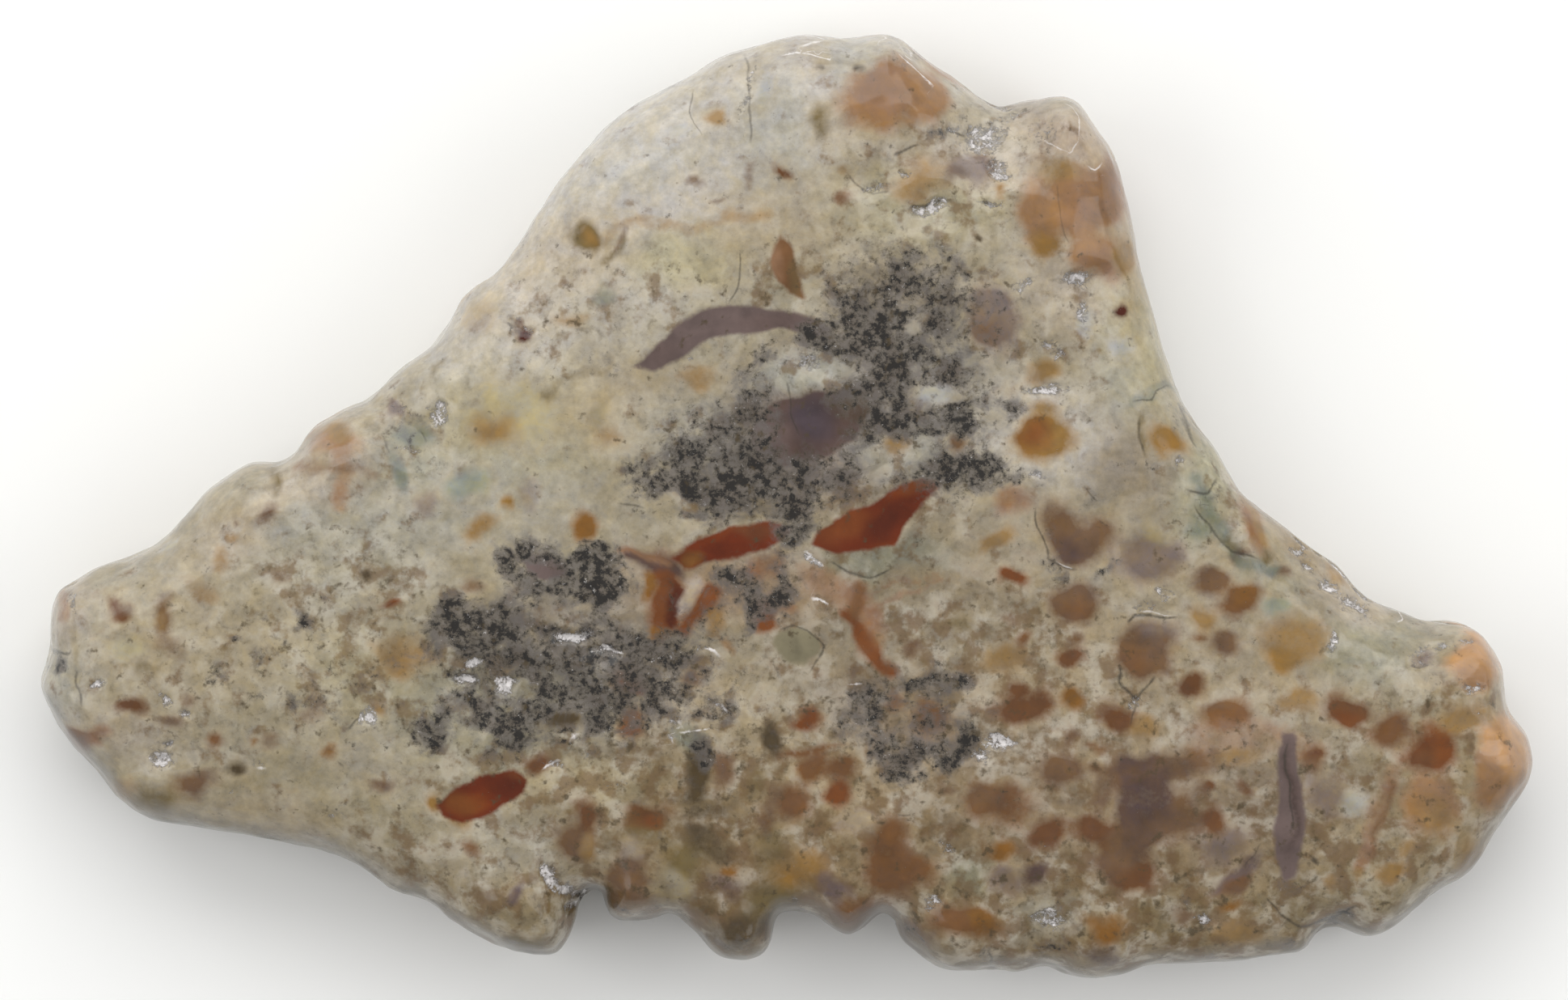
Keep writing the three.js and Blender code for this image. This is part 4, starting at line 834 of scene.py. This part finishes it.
def carve_and_mark(mesh, finish):
    """Lays all the marks on the slab as values of its vertices, and cuts pits and cracks into it."""
    rng = np.random.default_rng(SEED)
    shades = {name: stone_colour(value) for name, value in SHADES.items()}
    low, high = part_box("coprolite")
    points = mesh_values(mesh, "place")
    normals = mesh_values(mesh, "normal")
    pixel = (high.x - low.x) / (OUTLINE_RIGHT - OUTLINE_LEFT)

    # A mark at the rim goes on down the side for its own size: the side is looked up as if folded back in
    steep = ease(normals[:, 2], 0.75, 0.2)
    depth = np.maximum(0, high.z * FOLD_LEVEL - points[:, 2]) * steep
    unrolled = points[:, :2] - normals[:, :2] * depth[:, None]
    places = photo_places(np.column_stack((unrolled, points[:, 2])))
    smooth_places = places.copy()
    for period, shift in ((5.0, 5.0), (2.2, 3.6), (1.1, 1.8)):
        for axis in range(2):
            places[:, axis] += shift * swell(points / MM, period, rng)
    front = ease(normals[:, 2], -0.75, -0.25)

    tint = np.tile(np.array(finish.ground), (len(points), 1))
    cloud = ease(swell(points / MM, 6.0, rng) + 0.5 * swell(points / MM, 2.0, rng), -0.6, 1.2)
    tint += cloud[:, None] * CHALK_CLOUDS * (np.array(shades["chalk"]) - tint)
    for x, y, half_width, half_height, turn, shade, strength in ZONES:
        here = front * strength * ease(oval(places, x, y, half_width, half_height, turn), 1.4, 0.3)
        tint += here[:, None] * (np.array(shades[shade]) - tint)
    for x, y, half_width, half_height, turn, shade, strength in CELLS:
        away = (oval(places, x, y, half_width, half_height, turn) - 1) * min(half_width, half_height)
        here = front * HALO_SHARE * strength * ease(away, HALO_WIDTH, 0)
        tint += here[:, None] * (np.array(shades["cream"]) - tint)
    # Steep sides get a darker rind all round, plus painted shade where they face the lower edge, away from
    # the light
    lower_rim_shade = ease(-normals[:, 1], -0.2, 0.7)
    rind_and_shade = 1 - ease(normals[:, 2], 0.85, 0.1) * (SIDE_DARKER + LOWER_SIDE_PAINTED_SHADE * lower_rim_shade)
    paint_values(mesh, "ground", tint * rind_and_shade[:, None])
    grit = density_of(places, GRIT) * front + BACK_GRIT * (1 - front)
    paint_values(mesh, "grit", grit)

    back_cells, back_dark = back_marks(rng)
    cover, cell_tint = cover_of(places, CELLS, STREAKS, shades)
    back_cover, back_tint = cover_of(places, back_cells, [], shades)
    paint_values(mesh, "cell_cover", cover * front + back_cover * (1 - front))
    cell_tint = cell_tint * front[:, None] + back_tint * (1 - front)[:, None]
    paint_values(mesh, "cell_tint", cell_tint * rind_and_shade[:, None])

    rim = np.full(len(points), 9.0)
    lens_tint = np.tile(np.array(shades["smoke"]), (len(points), 1))
    calmer = smooth_places + (places - smooth_places) * LENS_WAVER
    for shade, ring in LENSES:
        away = to_line(calmer, ring + ring[:1])[0] * pixel / MM
        away = np.where(inside(calmer, ring), -away, away)
        closer = away < rim
        lens_tint[closer] = shades[shade]
        rim = np.where(closer, away, rim)
    for x, y, half_width, half_height, turn, shade, strength in LENS_TINTS:
        here = strength * ease(oval(places, x, y, half_width, half_height, turn), 1.4, 0.3)
        lens_tint += here[:, None] * (np.array(shades[shade]) - lens_tint)
    rim = np.where(front < 0.5, 9.0, rim)
    paint_values(mesh, "lens_rim", np.clip(rim, -3, 3))
    paint_values(mesh, "lens_tint", lens_tint)

    dendrites = density_of(places, DENDRITES) * (1 - density_of(places, CLEARINGS))
    dendrites = dendrites * front + density_of(places, back_dark) * (1 - front)
    paint_values(mesh, "dendrites", dendrites)
    crusts = density_of(places, CRUSTS) * front
    paint_values(mesh, "crusts", crusts)

    lines = smooth_places + (places - smooth_places) * CRACK_WAVER
    side, open_share = line_values(lines, CRACKS, pixel)
    open_share *= front
    paint_values(mesh, "crack_side", side)
    paint_values(mesh, "crack_open", open_share)
    # White hairlines: partly quartz, partly painted glints along the ridges
    vein_glint_side, vein_glint_share = line_values(lines, VEINS_AND_GLINTS, pixel)
    paint_values(mesh, "vein_glint_side", vein_glint_side)
    paint_values(mesh, "vein_glint_share", vein_glint_share * front)

    # Relief: low waves of a tumbled face, crystal pits and open cracks, all kept off the sawn back
    tumbled = ease(normals[:, 2], -0.6, 0.1)
    rise = finish.swell_height * (swell(points / MM, 3.0, rng) + 0.5 * swell(points / MM, 1.5, rng))
    lumps = 0.5 + 0.5 * swell(points / MM, 0.9, rng)
    rise -= finish.pit_depth * ease(crusts, 0.15, 0.8) * (0.45 + 0.9 * lumps)
    rise -= finish.crack_depth * open_share * ease(np.abs(side), 0.4, 0.0)
    points += normals * (rise * tumbled)[:, None]
    points = np.clip(points, np.array(low), np.array(high))
    mesh.vertices.foreach_set("co", points.ravel())
    mesh.update()


def agatised_stone(finish):
    """Agatised coprolite, tumble-polished: chalcedony with a wet, glassy gloss over colour that sits in the
    stone, soft grainy cells, crisp lenses, black dendrites, and rough white crystals left unpolished."""
    material = bpy.data.materials.new("chalcedony_tumble_polished")
    material.use_nodes = True
    tree = material.node_tree
    tree.nodes.clear()
    mix_a, mix_b, mix_out = 6, 7, 2
    place = node(tree, "ShaderNodeTexCoord").outputs["Object"]
    per_mm = 1 / MM

    painted = {}
    for name in ("grit", "cell_cover", "lens_rim", "dendrites", "crack_side", "crack_open", "vein_glint_side",
                 "vein_glint_share", "crusts"):
        painted[name] = node(tree, "ShaderNodeAttribute", attribute_name=name).outputs["Fac"]
    for name in ("ground", "cell_tint", "lens_tint"):
        painted[name] = node(tree, "ShaderNodeAttribute", attribute_name=name).outputs["Color"]

    # Chalcedony grows in clouds of 2 to 3 mm, with a grain of 0.2 mm; the grain is drawn at 0.35 mm to show
    clouds = node(tree, "ShaderNodeTexNoise", {
        "Vector": place, "Scale": per_mm / 1.9, "Detail": 4.0, "Roughness": 0.52, "Distortion": 0.3,
    })
    grain = node(tree, "ShaderNodeTexNoise", {
        "Vector": place, "Scale": per_mm / 0.35, "Detail": 3.0, "Roughness": 0.6,
    })
    stains = node(tree, "ShaderNodeTexNoise", {
        "Vector": place, "Scale": per_mm / 1.5, "Detail": 4.0, "Roughness": 0.58,
    })
    haze = node(tree, "ShaderNodeTexNoise", {
        "Vector": place, "Scale": per_mm / 1.5, "Detail": 6.0, "Roughness": 0.68, "Distortion": 0.4,
    })
    haze_share = node(tree, "ShaderNodeMapRange", {
        "Value": haze.outputs["Fac"], "From Min": 0.35, "From Max": 0.65, "To Min": 0.0, "To Max": 1.0,
    }).outputs[0]
    warp = node(tree, "ShaderNodeTexNoise", {"Vector": place, "Scale": per_mm / 0.9, "Detail": 4.0})
    warp_shift = node(tree, "ShaderNodeVectorMath", {
        0: warp.outputs["Color"], 1: (0.0008, 0.0008, 0.0008),
    }, operation="MULTIPLY")
    warped = node(tree, "ShaderNodeVectorMath", {
        0: place, 1: warp_shift.outputs[0],
    }, operation="ADD").outputs[0]
    # Granules of about 1 mm, each a little lighter or darker, with seams where iron and manganese settled
    granules = node(tree, "ShaderNodeTexVoronoi", {"Vector": warped, "Scale": per_mm / 1.15}, feature="F1")
    seams = node(tree, "ShaderNodeTexVoronoi", {
        "Vector": warped, "Scale": per_mm / 1.15,
    }, feature="DISTANCE_TO_EDGE")

    brighter = node(tree, "ShaderNodeMapRange", {
        "Value": clouds.outputs["Fac"], "From Min": 0.3, "From Max": 0.7, "To Min": 0.86, "To Max": 1.14,
    })
    clouded = node(tree, "ShaderNodeVectorMath", {
        0: painted["ground"], "Scale": brighter.outputs[0],
    }, operation="SCALE")
    granule_light = node(tree, "ShaderNodeMapRange", {
        "Value": granules.outputs["Color"], "From Min": 0.1, "From Max": 0.9, "To Min": 0.9, "To Max": 1.11,
    })
    granule_held = node(tree, "ShaderNodeMapRange", {
        "Value": painted["grit"], "From Min": 0.0, "From Max": 0.7, "To Min": 0.22, "To Max": 1.0,
    })
    granule_kept = node(tree, "ShaderNodeMix", {
        0: granule_held.outputs[0], 2: 1.0, 3: granule_light.outputs[0],
    }, data_type="FLOAT")
    curdled = node(tree, "ShaderNodeVectorMath", {
        0: clouded.outputs[0], "Scale": granule_kept.outputs[0],
    }, operation="SCALE")
    # Flecks of 0.3 to 0.6 mm, and a drift between cream and grey
    flecks = node(tree, "ShaderNodeTexNoise", {
        "Vector": place, "Scale": per_mm / 0.6, "Detail": 4.0, "Roughness": 0.65,
    })
    fleck_light = node(tree, "ShaderNodeMapRange", {
        "Value": flecks.outputs["Fac"], "From Min": 0.3, "From Max": 0.7, "To Min": 0.84, "To Max": 1.16,
    })
    flecked = node(tree, "ShaderNodeVectorMath", {
        0: curdled.outputs[0], "Scale": fleck_light.outputs[0],
    }, operation="SCALE")
    drift = node(tree, "ShaderNodeMix", {
        0: haze_share, mix_a: (1.04, 1.0, 0.88, 1), mix_b: (0.97, 1.0, 1.08, 1),
    }, data_type="RGBA")
    drifted = node(tree, "ShaderNodeVectorMath", {
        0: flecked.outputs[0], 1: drift.outputs[mix_out],
    }, operation="MULTIPLY")
    # Pale quartz patches of 1 to 2 mm, whiter where the ground is gritty
    pale_share = node(tree, "ShaderNodeMapRange", {
        "Value": clouds.outputs["Fac"], "From Min": 0.46, "From Max": 0.64, "To Min": 0.0, "To Max": 1.0,
    }, interpolation_type="SMOOTHSTEP")
    pale_held = node(tree, "ShaderNodeMath", {
        0: pale_share.outputs[0], 1: granule_held.outputs[0],
    }, operation="MULTIPLY")
    pale_kept = node(tree, "ShaderNodeMath", {
        0: painted["dendrites"], 1: -0.7, 2: 1.0,
    }, operation="MULTIPLY_ADD")
    pale_left = node(tree, "ShaderNodeMath", {
        0: pale_held.outputs[0], 1: pale_kept.outputs[0],
    }, operation="MULTIPLY")
    pale_tint = node(tree, "ShaderNodeMix", {
        0: 0.5, mix_a: drifted.outputs[0], mix_b: (*linear("#BFB9AB"), 1),
    }, data_type="RGBA")
    paled = node(tree, "ShaderNodeMix", {
        0: pale_left.outputs[0], mix_a: drifted.outputs[0], mix_b: pale_tint.outputs[mix_out],
    }, data_type="RGBA")
    # Olive and brown iron stains of 0.5 to 2 mm
    stain_grown = node(tree, "ShaderNodeMath", {
        0: painted["grit"], 1: 0.2, 2: stains.outputs["Fac"],
    }, operation="MULTIPLY_ADD")
    stain_share = node(tree, "ShaderNodeMapRange", {
        "Value": stain_grown.outputs[0], "From Min": 0.6, "From Max": 0.77, "To Min": 0.0, "To Max": 0.82,
    }, interpolation_type="SMOOTHSTEP")
    stain_tint = node(tree, "ShaderNodeMix", {
        0: haze_share, mix_a: (*linear("#6B5834"), 1), mix_b: (*linear("#68482C"), 1),
    }, data_type="RGBA")
    stain_under = node(tree, "ShaderNodeVectorMath", {
        0: drifted.outputs[0], 1: (0.66, 0.57, 0.42),
    }, operation="MULTIPLY")
    stain_body = node(tree, "ShaderNodeMix", {
        0: 0.5, mix_a: stain_under.outputs[0], mix_b: stain_tint.outputs[mix_out],
    }, data_type="RGBA")
    stained = node(tree, "ShaderNodeMix", {
        0: stain_share.outputs[0], mix_a: paled.outputs[mix_out], mix_b: stain_body.outputs[mix_out],
    }, data_type="RGBA")

    # Dark olive settled in some seams between granules
    seam_near = node(tree, "ShaderNodeMath", {
        0: seams.outputs["Distance"], 1: 0.7, 2: flecks.outputs["Fac"],
    }, operation="MULTIPLY_ADD")
    seam_line = node(tree, "ShaderNodeMapRange", {
        "Value": seam_near.outputs[0], "From Min": 0.5, "From Max": 0.34, "To Min": 0.0, "To Max": 0.7,
    })
    seam_held = node(tree, "ShaderNodeMath", {
        0: seam_line.outputs[0], 1: painted["grit"],
    }, operation="MULTIPLY")
    seamed = node(tree, "ShaderNodeMix", {
        0: seam_held.outputs[0], mix_a: stained.outputs[mix_out], mix_b: (*linear("#584B33"), 1),
    }, data_type="RGBA")

    # Cells: soft rims of about 0.5 mm, broken up a little by the grain, and clouded middles
    ragged = node(tree, "ShaderNodeMath", {
        0: grain.outputs["Fac"], 1: 0.4, 2: clouds.outputs["Fac"],
    }, operation="MULTIPLY_ADD")
    ragged_low = node(tree, "ShaderNodeMath", {
        0: ragged.outputs[0], 1: 0.8, 2: -0.56,
    }, operation="MULTIPLY_ADD")
    loosened = node(tree, "ShaderNodeMath", {
        0: painted["cell_cover"], 1: ragged_low.outputs[0],
    }, operation="ADD")
    cell_share = node(tree, "ShaderNodeMapRange", {
        "Value": loosened.outputs[0], "From Min": 0.06, "From Max": 0.76, "To Min": 0.0, "To Max": 1.0,
    })
    cell_light = node(tree, "ShaderNodeMapRange", {
        "Value": clouds.outputs["Fac"], "From Min": 0.3, "From Max": 0.7, "To Min": 0.74, "To Max": 1.18,
    })
    cell_lit = node(tree, "ShaderNodeVectorMath", {
        0: painted["cell_tint"], "Scale": cell_light.outputs[0],
    }, operation="SCALE")
    # Iron drifts inside a cell between mauve and ochre
    cell_drift = node(tree, "ShaderNodeMix", {
        0: haze_share, mix_a: (1.1, 1.03, 0.8, 1), mix_b: (0.94, 0.98, 1.16, 1),
    }, data_type="RGBA")
    cell_tint = node(tree, "ShaderNodeVectorMath", {
        0: cell_lit.outputs[0], 1: cell_drift.outputs[mix_out],
    }, operation="MULTIPLY")
    cell_core = node(tree, "ShaderNodeMapRange", {
        "Value": cell_share.outputs[0], "From Min": 0.4, "From Max": 1.0, "To Min": 0.0, "To Max": 1.0,
    })
    cell_rim_tint = node(tree, "ShaderNodeVectorMath", {
        0: cell_tint.outputs[0], 1: (1.12, 1.12, 1.2),
    }, operation="MULTIPLY")
    cell_body = node(tree, "ShaderNodeMix", {
        0: cell_core.outputs[0], mix_a: cell_rim_tint.outputs[0], mix_b: cell_tint.outputs[0],
    }, data_type="RGBA")
    celled = node(tree, "ShaderNodeMix", {
        0: cell_share.outputs[0], mix_a: seamed.outputs[mix_out], mix_b: cell_body.outputs[mix_out],
    }, data_type="RGBA")

    # Lenses: crisp, with rims ragged by 0.1 mm
    lens_edge = node(tree, "ShaderNodeMath", {
        0: ragged.outputs[0], 1: -0.5, 2: painted["lens_rim"],
    }, operation="MULTIPLY_ADD")
    lens_share = node(tree, "ShaderNodeMapRange", {
        "Value": lens_edge.outputs[0], "From Min": -0.16, "From Max": -0.52, "To Min": 0.0, "To Max": 1.0,
    }, interpolation_type="SMOOTHSTEP")
    lens_light = node(tree, "ShaderNodeMapRange", {
        "Value": clouds.outputs["Fac"], "From Min": 0.3, "From Max": 0.7, "To Min": 0.76, "To Max": 1.24,
    })
    lens_tint = node(tree, "ShaderNodeVectorMath", {
        0: painted["lens_tint"], "Scale": lens_light.outputs[0],
    }, operation="SCALE")
    lensed = node(tree, "ShaderNodeMix", {
        0: lens_share.outputs[0], mix_a: celled.outputs[mix_out], mix_b: lens_tint.outputs[0],
    }, data_type="RGBA")

    # Dendrites: a smoky veil in patches of 1 to 2 mm, with dark specks of 0.1 to 0.4 mm and white points
    twigs = node(tree, "ShaderNodeTexNoise", {
        "Vector": place, "Scale": per_mm / 0.5, "Detail": 5.0, "Roughness": 0.75, "Distortion": 0.2,
    })
    veil_grown = node(tree, "ShaderNodeMath", {
        0: painted["dendrites"], 1: 0.5, 2: haze.outputs["Fac"],
    }, operation="MULTIPLY_ADD")
    veil_share = node(tree, "ShaderNodeMapRange", {
        "Value": veil_grown.outputs[0], "From Min": 0.62, "From Max": 0.92, "To Min": 0.0, "To Max": 0.82,
    }, interpolation_type="SMOOTHSTEP")
    veil_tint = node(tree, "ShaderNodeMix", {
        0: clouds.outputs["Fac"], mix_a: (*linear("#464140"), 1), mix_b: (*linear("#746E69"), 1),
    }, data_type="RGBA")
    veiled = node(tree, "ShaderNodeMix", {
        0: veil_share.outputs[0], mix_a: lensed.outputs[mix_out], mix_b: veil_tint.outputs[mix_out],
    }, data_type="RGBA")
    twigs_near = node(tree, "ShaderNodeMath", {
        0: seams.outputs["Distance"], 1: -0.35, 2: twigs.outputs["Fac"],
    }, operation="MULTIPLY_ADD")
    grown = node(tree, "ShaderNodeMath", {
        0: veil_grown.outputs[0], 1: 0.62, 2: twigs_near.outputs[0],
    }, operation="MULTIPLY_ADD")
    dark_share = node(tree, "ShaderNodeMapRange", {
        "Value": grown.outputs[0], "From Min": 0.93, "From Max": 1.12, "To Min": 0.0, "To Max": 0.92,
    })
    dark_tint = node(tree, "ShaderNodeMapRange", {
        "Value": grown.outputs[0], "From Min": 0.97, "From Max": 1.1, "To Min": 0.0, "To Max": 1.0,
    })
    dark = node(tree, "ShaderNodeMix", {
        0: dark_tint.outputs[0], mix_a: (*linear("#4E4530"), 1), mix_b: (*finish.dendrite, 1),
    }, data_type="RGBA")
    blackened = node(tree, "ShaderNodeMix", {
        0: dark_share.outputs[0], mix_a: veiled.outputs[mix_out], mix_b: dark.outputs[mix_out],
    }, data_type="RGBA")
    # White points in the veil: partly quartz and partly painted glints
    glints = node(tree, "ShaderNodeTexNoise", {
        "Vector": place, "Scale": per_mm / 0.45, "Detail": 4.0, "Roughness": 0.9,
    })
    glint_share = node(tree, "ShaderNodeMapRange", {
        "Value": glints.outputs["Fac"], "From Min": 0.63, "From Max": 0.7, "To Min": 0.0, "To Max": 0.9,
    })
    glint_held = node(tree, "ShaderNodeMath", {
        0: glint_share.outputs[0], 1: veil_share.outputs[0],
    }, operation="MULTIPLY")
    sparkled = node(tree, "ShaderNodeMix", {
        0: glint_held.outputs[0], mix_a: blackened.outputs[mix_out], mix_b: (*linear("#C4C0BC"), 1),
    }, data_type="RGBA")

    # Specks of iron and manganese, 0.15 to 0.4 mm, everywhere
    specks = node(tree, "ShaderNodeTexNoise", {
        "Vector": place, "Scale": per_mm / 0.85, "Detail": 3.0, "Roughness": 0.6,
    })
    speck_grown = node(tree, "ShaderNodeMath", {
        0: painted["grit"], 1: 0.09, 2: specks.outputs["Fac"],
    }, operation="MULTIPLY_ADD")
    speck_share = node(tree, "ShaderNodeMapRange", {
        "Value": speck_grown.outputs[0], "From Min": 0.66, "From Max": 0.78, "To Min": 0.0, "To Max": 0.8,
    })
    specked = node(tree, "ShaderNodeMix", {
        0: speck_share.outputs[0], mix_a: sparkled.outputs[mix_out], mix_b: (*linear("#4A3E2A"), 1),
    }, data_type="RGBA")

    # Cracks: dark hairlines about 0.1 mm wide
    crack_off = node(tree, "ShaderNodeMath", {0: painted["crack_side"]}, operation="ABSOLUTE")
    crack_wide = node(tree, "ShaderNodeMath", {
        0: grain.outputs["Fac"], 1: -0.18, 2: crack_off.outputs[0],
    }, operation="MULTIPLY_ADD")
    crack_line = node(tree, "ShaderNodeMapRange", {
        "Value": crack_wide.outputs[0], "From Min": 0.04, "From Max": -0.09, "To Min": 0.0, "To Max": 0.85,
    })
    crack_share = node(tree, "ShaderNodeMath", {
        0: crack_line.outputs[0], 1: painted["crack_open"],
    }, operation="MULTIPLY")
    cracked = node(tree, "ShaderNodeMix", {
        0: crack_share.outputs[0], mix_a: specked.outputs[mix_out], mix_b: (*linear("#37322A"), 1),
    }, data_type="RGBA")

    # Veins: white hairlines, partly quartz and partly painted glints, broken by the grain
    vein_glint_off = node(tree, "ShaderNodeMath", {0: painted["vein_glint_side"]}, operation="ABSOLUTE")
    vein_glint_wide = node(tree, "ShaderNodeMath", {
        0: twigs.outputs["Fac"], 1: -0.5, 2: vein_glint_off.outputs[0],
    }, operation="MULTIPLY_ADD")
    vein_glint_line = node(tree, "ShaderNodeMapRange", {
        "Value": vein_glint_wide.outputs[0], "From Min": -0.14, "From Max": -0.26, "To Min": 0.0, "To Max": 1.0,
    })
    vein_glint_held = node(tree, "ShaderNodeMath", {
        0: vein_glint_line.outputs[0], 1: painted["vein_glint_share"],
    }, operation="MULTIPLY")
    veined_and_glinted = node(tree, "ShaderNodeMix", {
        0: vein_glint_held.outputs[0], mix_a: cracked.outputs[mix_out], mix_b: (*finish.crust, 1),
    }, data_type="RGBA")

    # Crusts: white crystals of 0.2 to 0.5 mm with dark gaps
    facets = node(tree, "ShaderNodeTexVoronoi", {"Vector": warped, "Scale": per_mm / 0.45}, feature="F1")
    crumble = node(tree, "ShaderNodeTexNoise", {
        "Vector": warped, "Scale": per_mm / 0.5, "Detail": 6.0, "Roughness": 0.9,
    })
    crust_grown = node(tree, "ShaderNodeMath", {
        0: painted["crusts"], 1: 0.36, 2: crumble.outputs["Fac"],
    }, operation="MULTIPLY_ADD")
    crust_share = node(tree, "ShaderNodeMapRange", {
        "Value": crust_grown.outputs[0], "From Min": 0.66, "From Max": 0.74, "To Min": 0.0, "To Max": 1.0,
    })
    facet_light = node(tree, "ShaderNodeMapRange", {
        "Value": facets.outputs["Color"], "From Min": 0.0, "From Max": 1.0, "To Min": 0.55, "To Max": 1.05,
    })
    crust_tint = node(tree, "ShaderNodeVectorMath", {
        0: (*finish.crust,), "Scale": facet_light.outputs[0],
    }, operation="SCALE")
    crusted = node(tree, "ShaderNodeMix", {
        0: crust_share.outputs[0], mix_a: veined_and_glinted.outputs[mix_out], mix_b: crust_tint.outputs[0],
    }, data_type="RGBA")

    # Gloss: polished chalcedony, duller on the dendrites and in the crusts
    dull = node(tree, "ShaderNodeMapRange", {
        "Value": clouds.outputs["Fac"], "From Min": 0.3, "From Max": 0.7, "To Min": finish.polish * 0.7,
        "To Max": finish.polish * 1.5,
    })
    rough = node(tree, "ShaderNodeMix", {
        0: crust_share.outputs[0], 2: dull.outputs[0], 3: 0.42,
    }, data_type="FLOAT")
    facet_rise = node(tree, "ShaderNodeMath", {
        0: facets.outputs["Distance"], 1: crust_share.outputs[0],
    }, operation="MULTIPLY")
    crystal_bump = node(tree, "ShaderNodeBump", {
        "Strength": 0.8, "Distance": 0.00015, "Height": facet_rise.outputs[0],
    }, invert=True)
    polish_bump = node(tree, "ShaderNodeBump", {
        "Strength": 0.25, "Distance": 0.00004, "Height": clouds.outputs["Fac"],
        "Normal": crystal_bump.outputs[0],
    })
    surface = node(tree, "ShaderNodeBsdfPrincipled", {
        "Base Color": crusted.outputs[mix_out], "Roughness": rough.outputs[0], "IOR": 1.54,
        "Specular IOR Level": 0.38, "Normal": polish_bump.outputs[0],
    })
    node(tree, "ShaderNodeOutputMaterial", {"Surface": surface.outputs[0]})
    return material


class COPROLITE_OT_stone(bpy.types.Operator):
    """Make the slab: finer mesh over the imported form, marks, pits and polish"""

    bl_idname = "coprolite.stone"
    bl_label = "Make the stone"

    def execute(self, context):
        finish = context.scene.coprolite_stone
        mesh = smooth_slab()
        carve_and_mark(mesh, finish)
        mesh.shade_smooth()
        mesh.materials.clear()
        mesh.materials.append(agatised_stone(finish))
        stone = bpy.data.objects.new("coprolite_stone", mesh)
        context.scene.collection.objects.link(stone)
        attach(stone, "root")
        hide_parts("coprolite")
        return {"FINISHED"}


def floor_paint(colour):
    """Matt painted board: an even pale ground with no gloss."""
    material = bpy.data.materials.new("board_matt_painted")
    material.use_nodes = True
    surface = material.node_tree.nodes["Principled BSDF"]
    surface.inputs["Base Color"].default_value = (*colour, 1)
    surface.inputs["Roughness"].default_value = 0.9
    return material


class COPROLITE_OT_stage(bpy.types.Operator):
    """Set the pale floor, the soft light and the camera straight above"""

    bl_idname = "coprolite.stage"
    bl_label = "Set the stage"

    def execute(self, context):
        settings = context.scene.coprolite_stage
        scene = context.scene
        low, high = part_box("coprolite")

        plate = bmesh.new()
        bmesh.ops.create_grid(plate, x_segments=1, y_segments=1, size=3)
        mesh = bpy.data.meshes.new("floor")
        plate.to_mesh(mesh)
        plate.free()
        mesh.materials.append(floor_paint(settings.floor))
        floor = bpy.data.objects.new("floor", mesh)
        floor.location.z = low.z - FLOOR_GAP
        scene.collection.objects.link(floor)

        # Softboxes: place and size in metres, power in watts
        for name, place, size, power in (
            ("upper_softbox", (-0.05, 0.8, 0.62), (1.5, 0.9), 8.4),
            ("left_softbox", (-0.8, -0.05, 0.6), (0.8, 0.8), 3.1),
            ("right_softbox", (0.8, -0.05, 0.6), (0.8, 0.8), 3.0),
        ):
            light = bpy.data.lights.new(name, "AREA")
            light.shape = "RECTANGLE"
            light.size, light.size_y = size
            light.energy = power
            lamp = bpy.data.objects.new(name, light)
            lamp.location = place
            lamp.rotation_euler = (Vector((0, 0, 0.005)) - Vector(place)).to_track_quat("-Z", "Y").to_euler()
            scene.collection.objects.link(lamp)

        world = bpy.data.worlds.new("studio")
        world.use_nodes = True
        sky = world.node_tree.nodes["Background"]
        sky.inputs["Color"].default_value = (*linear("#FFFFFF"), 1)
        sky.inputs["Strength"].default_value = 0.45
        scene.world = world
        scene.view_settings.view_transform = "Standard"

        pixel = (high.x - low.x) / (OUTLINE_RIGHT - OUTLINE_LEFT)
        middle_x = (OUTLINE_LEFT + OUTLINE_RIGHT) / 2
        middle_y = (OUTLINE_TOP + OUTLINE_BOTTOM) / 2
        camera = bpy.data.cameras.new("camera")
        camera.sensor_width = 36
        camera.lens = camera.sensor_width * settings.camera_height / (PHOTO_WIDTH * pixel)
        eye = bpy.data.objects.new("camera", camera)
        eye.location = (
            (low.x + high.x) / 2 + (PHOTO_WIDTH / 2 - middle_x) * pixel,
            (low.y + high.y) / 2 + (middle_y - PHOTO_HEIGHT / 2) * pixel,
            WIDEST_LEVEL + settings.camera_height,
        )
        scene.collection.objects.link(eye)
        scene.camera = eye
        return {"FINISHED"}


class COPROLITE_PT_panel(bpy.types.Panel):
    """The slab's steps and settings"""

    bl_label = "Coprolite slab"
    bl_idname = "COPROLITE_PT_panel"
    bl_space_type = "VIEW_3D"
    bl_region_type = "UI"
    bl_category = "Coprolite"

    def draw(self, context):
        scene = context.scene
        for step, settings in (
            (COPROLITE_OT_stone, scene.coprolite_stone),
            (COPROLITE_OT_stage, scene.coprolite_stage),
        ):
            box = self.layout.box()
            box.operator(step.bl_idname)
            for name in settings.__annotations__:
                box.prop(settings, name)


CLASSES = (CoproliteStone, CoproliteStage, COPROLITE_OT_stone, COPROLITE_OT_stage, COPROLITE_PT_panel)


def register():
    for each in CLASSES:
        bpy.utils.register_class(each)
    bpy.types.Scene.coprolite_stone = bpy.props.PointerProperty(type=CoproliteStone)
    bpy.types.Scene.coprolite_stage = bpy.props.PointerProperty(type=CoproliteStage)


def unregister():
    del bpy.types.Scene.coprolite_stage
    del bpy.types.Scene.coprolite_stone
    for each in reversed(CLASSES):
        bpy.utils.unregister_class(each)


def main():
    register()
    bpy.ops.coprolite.stone()
    bpy.ops.coprolite.stage()


if __name__ == "__main__":
    main()
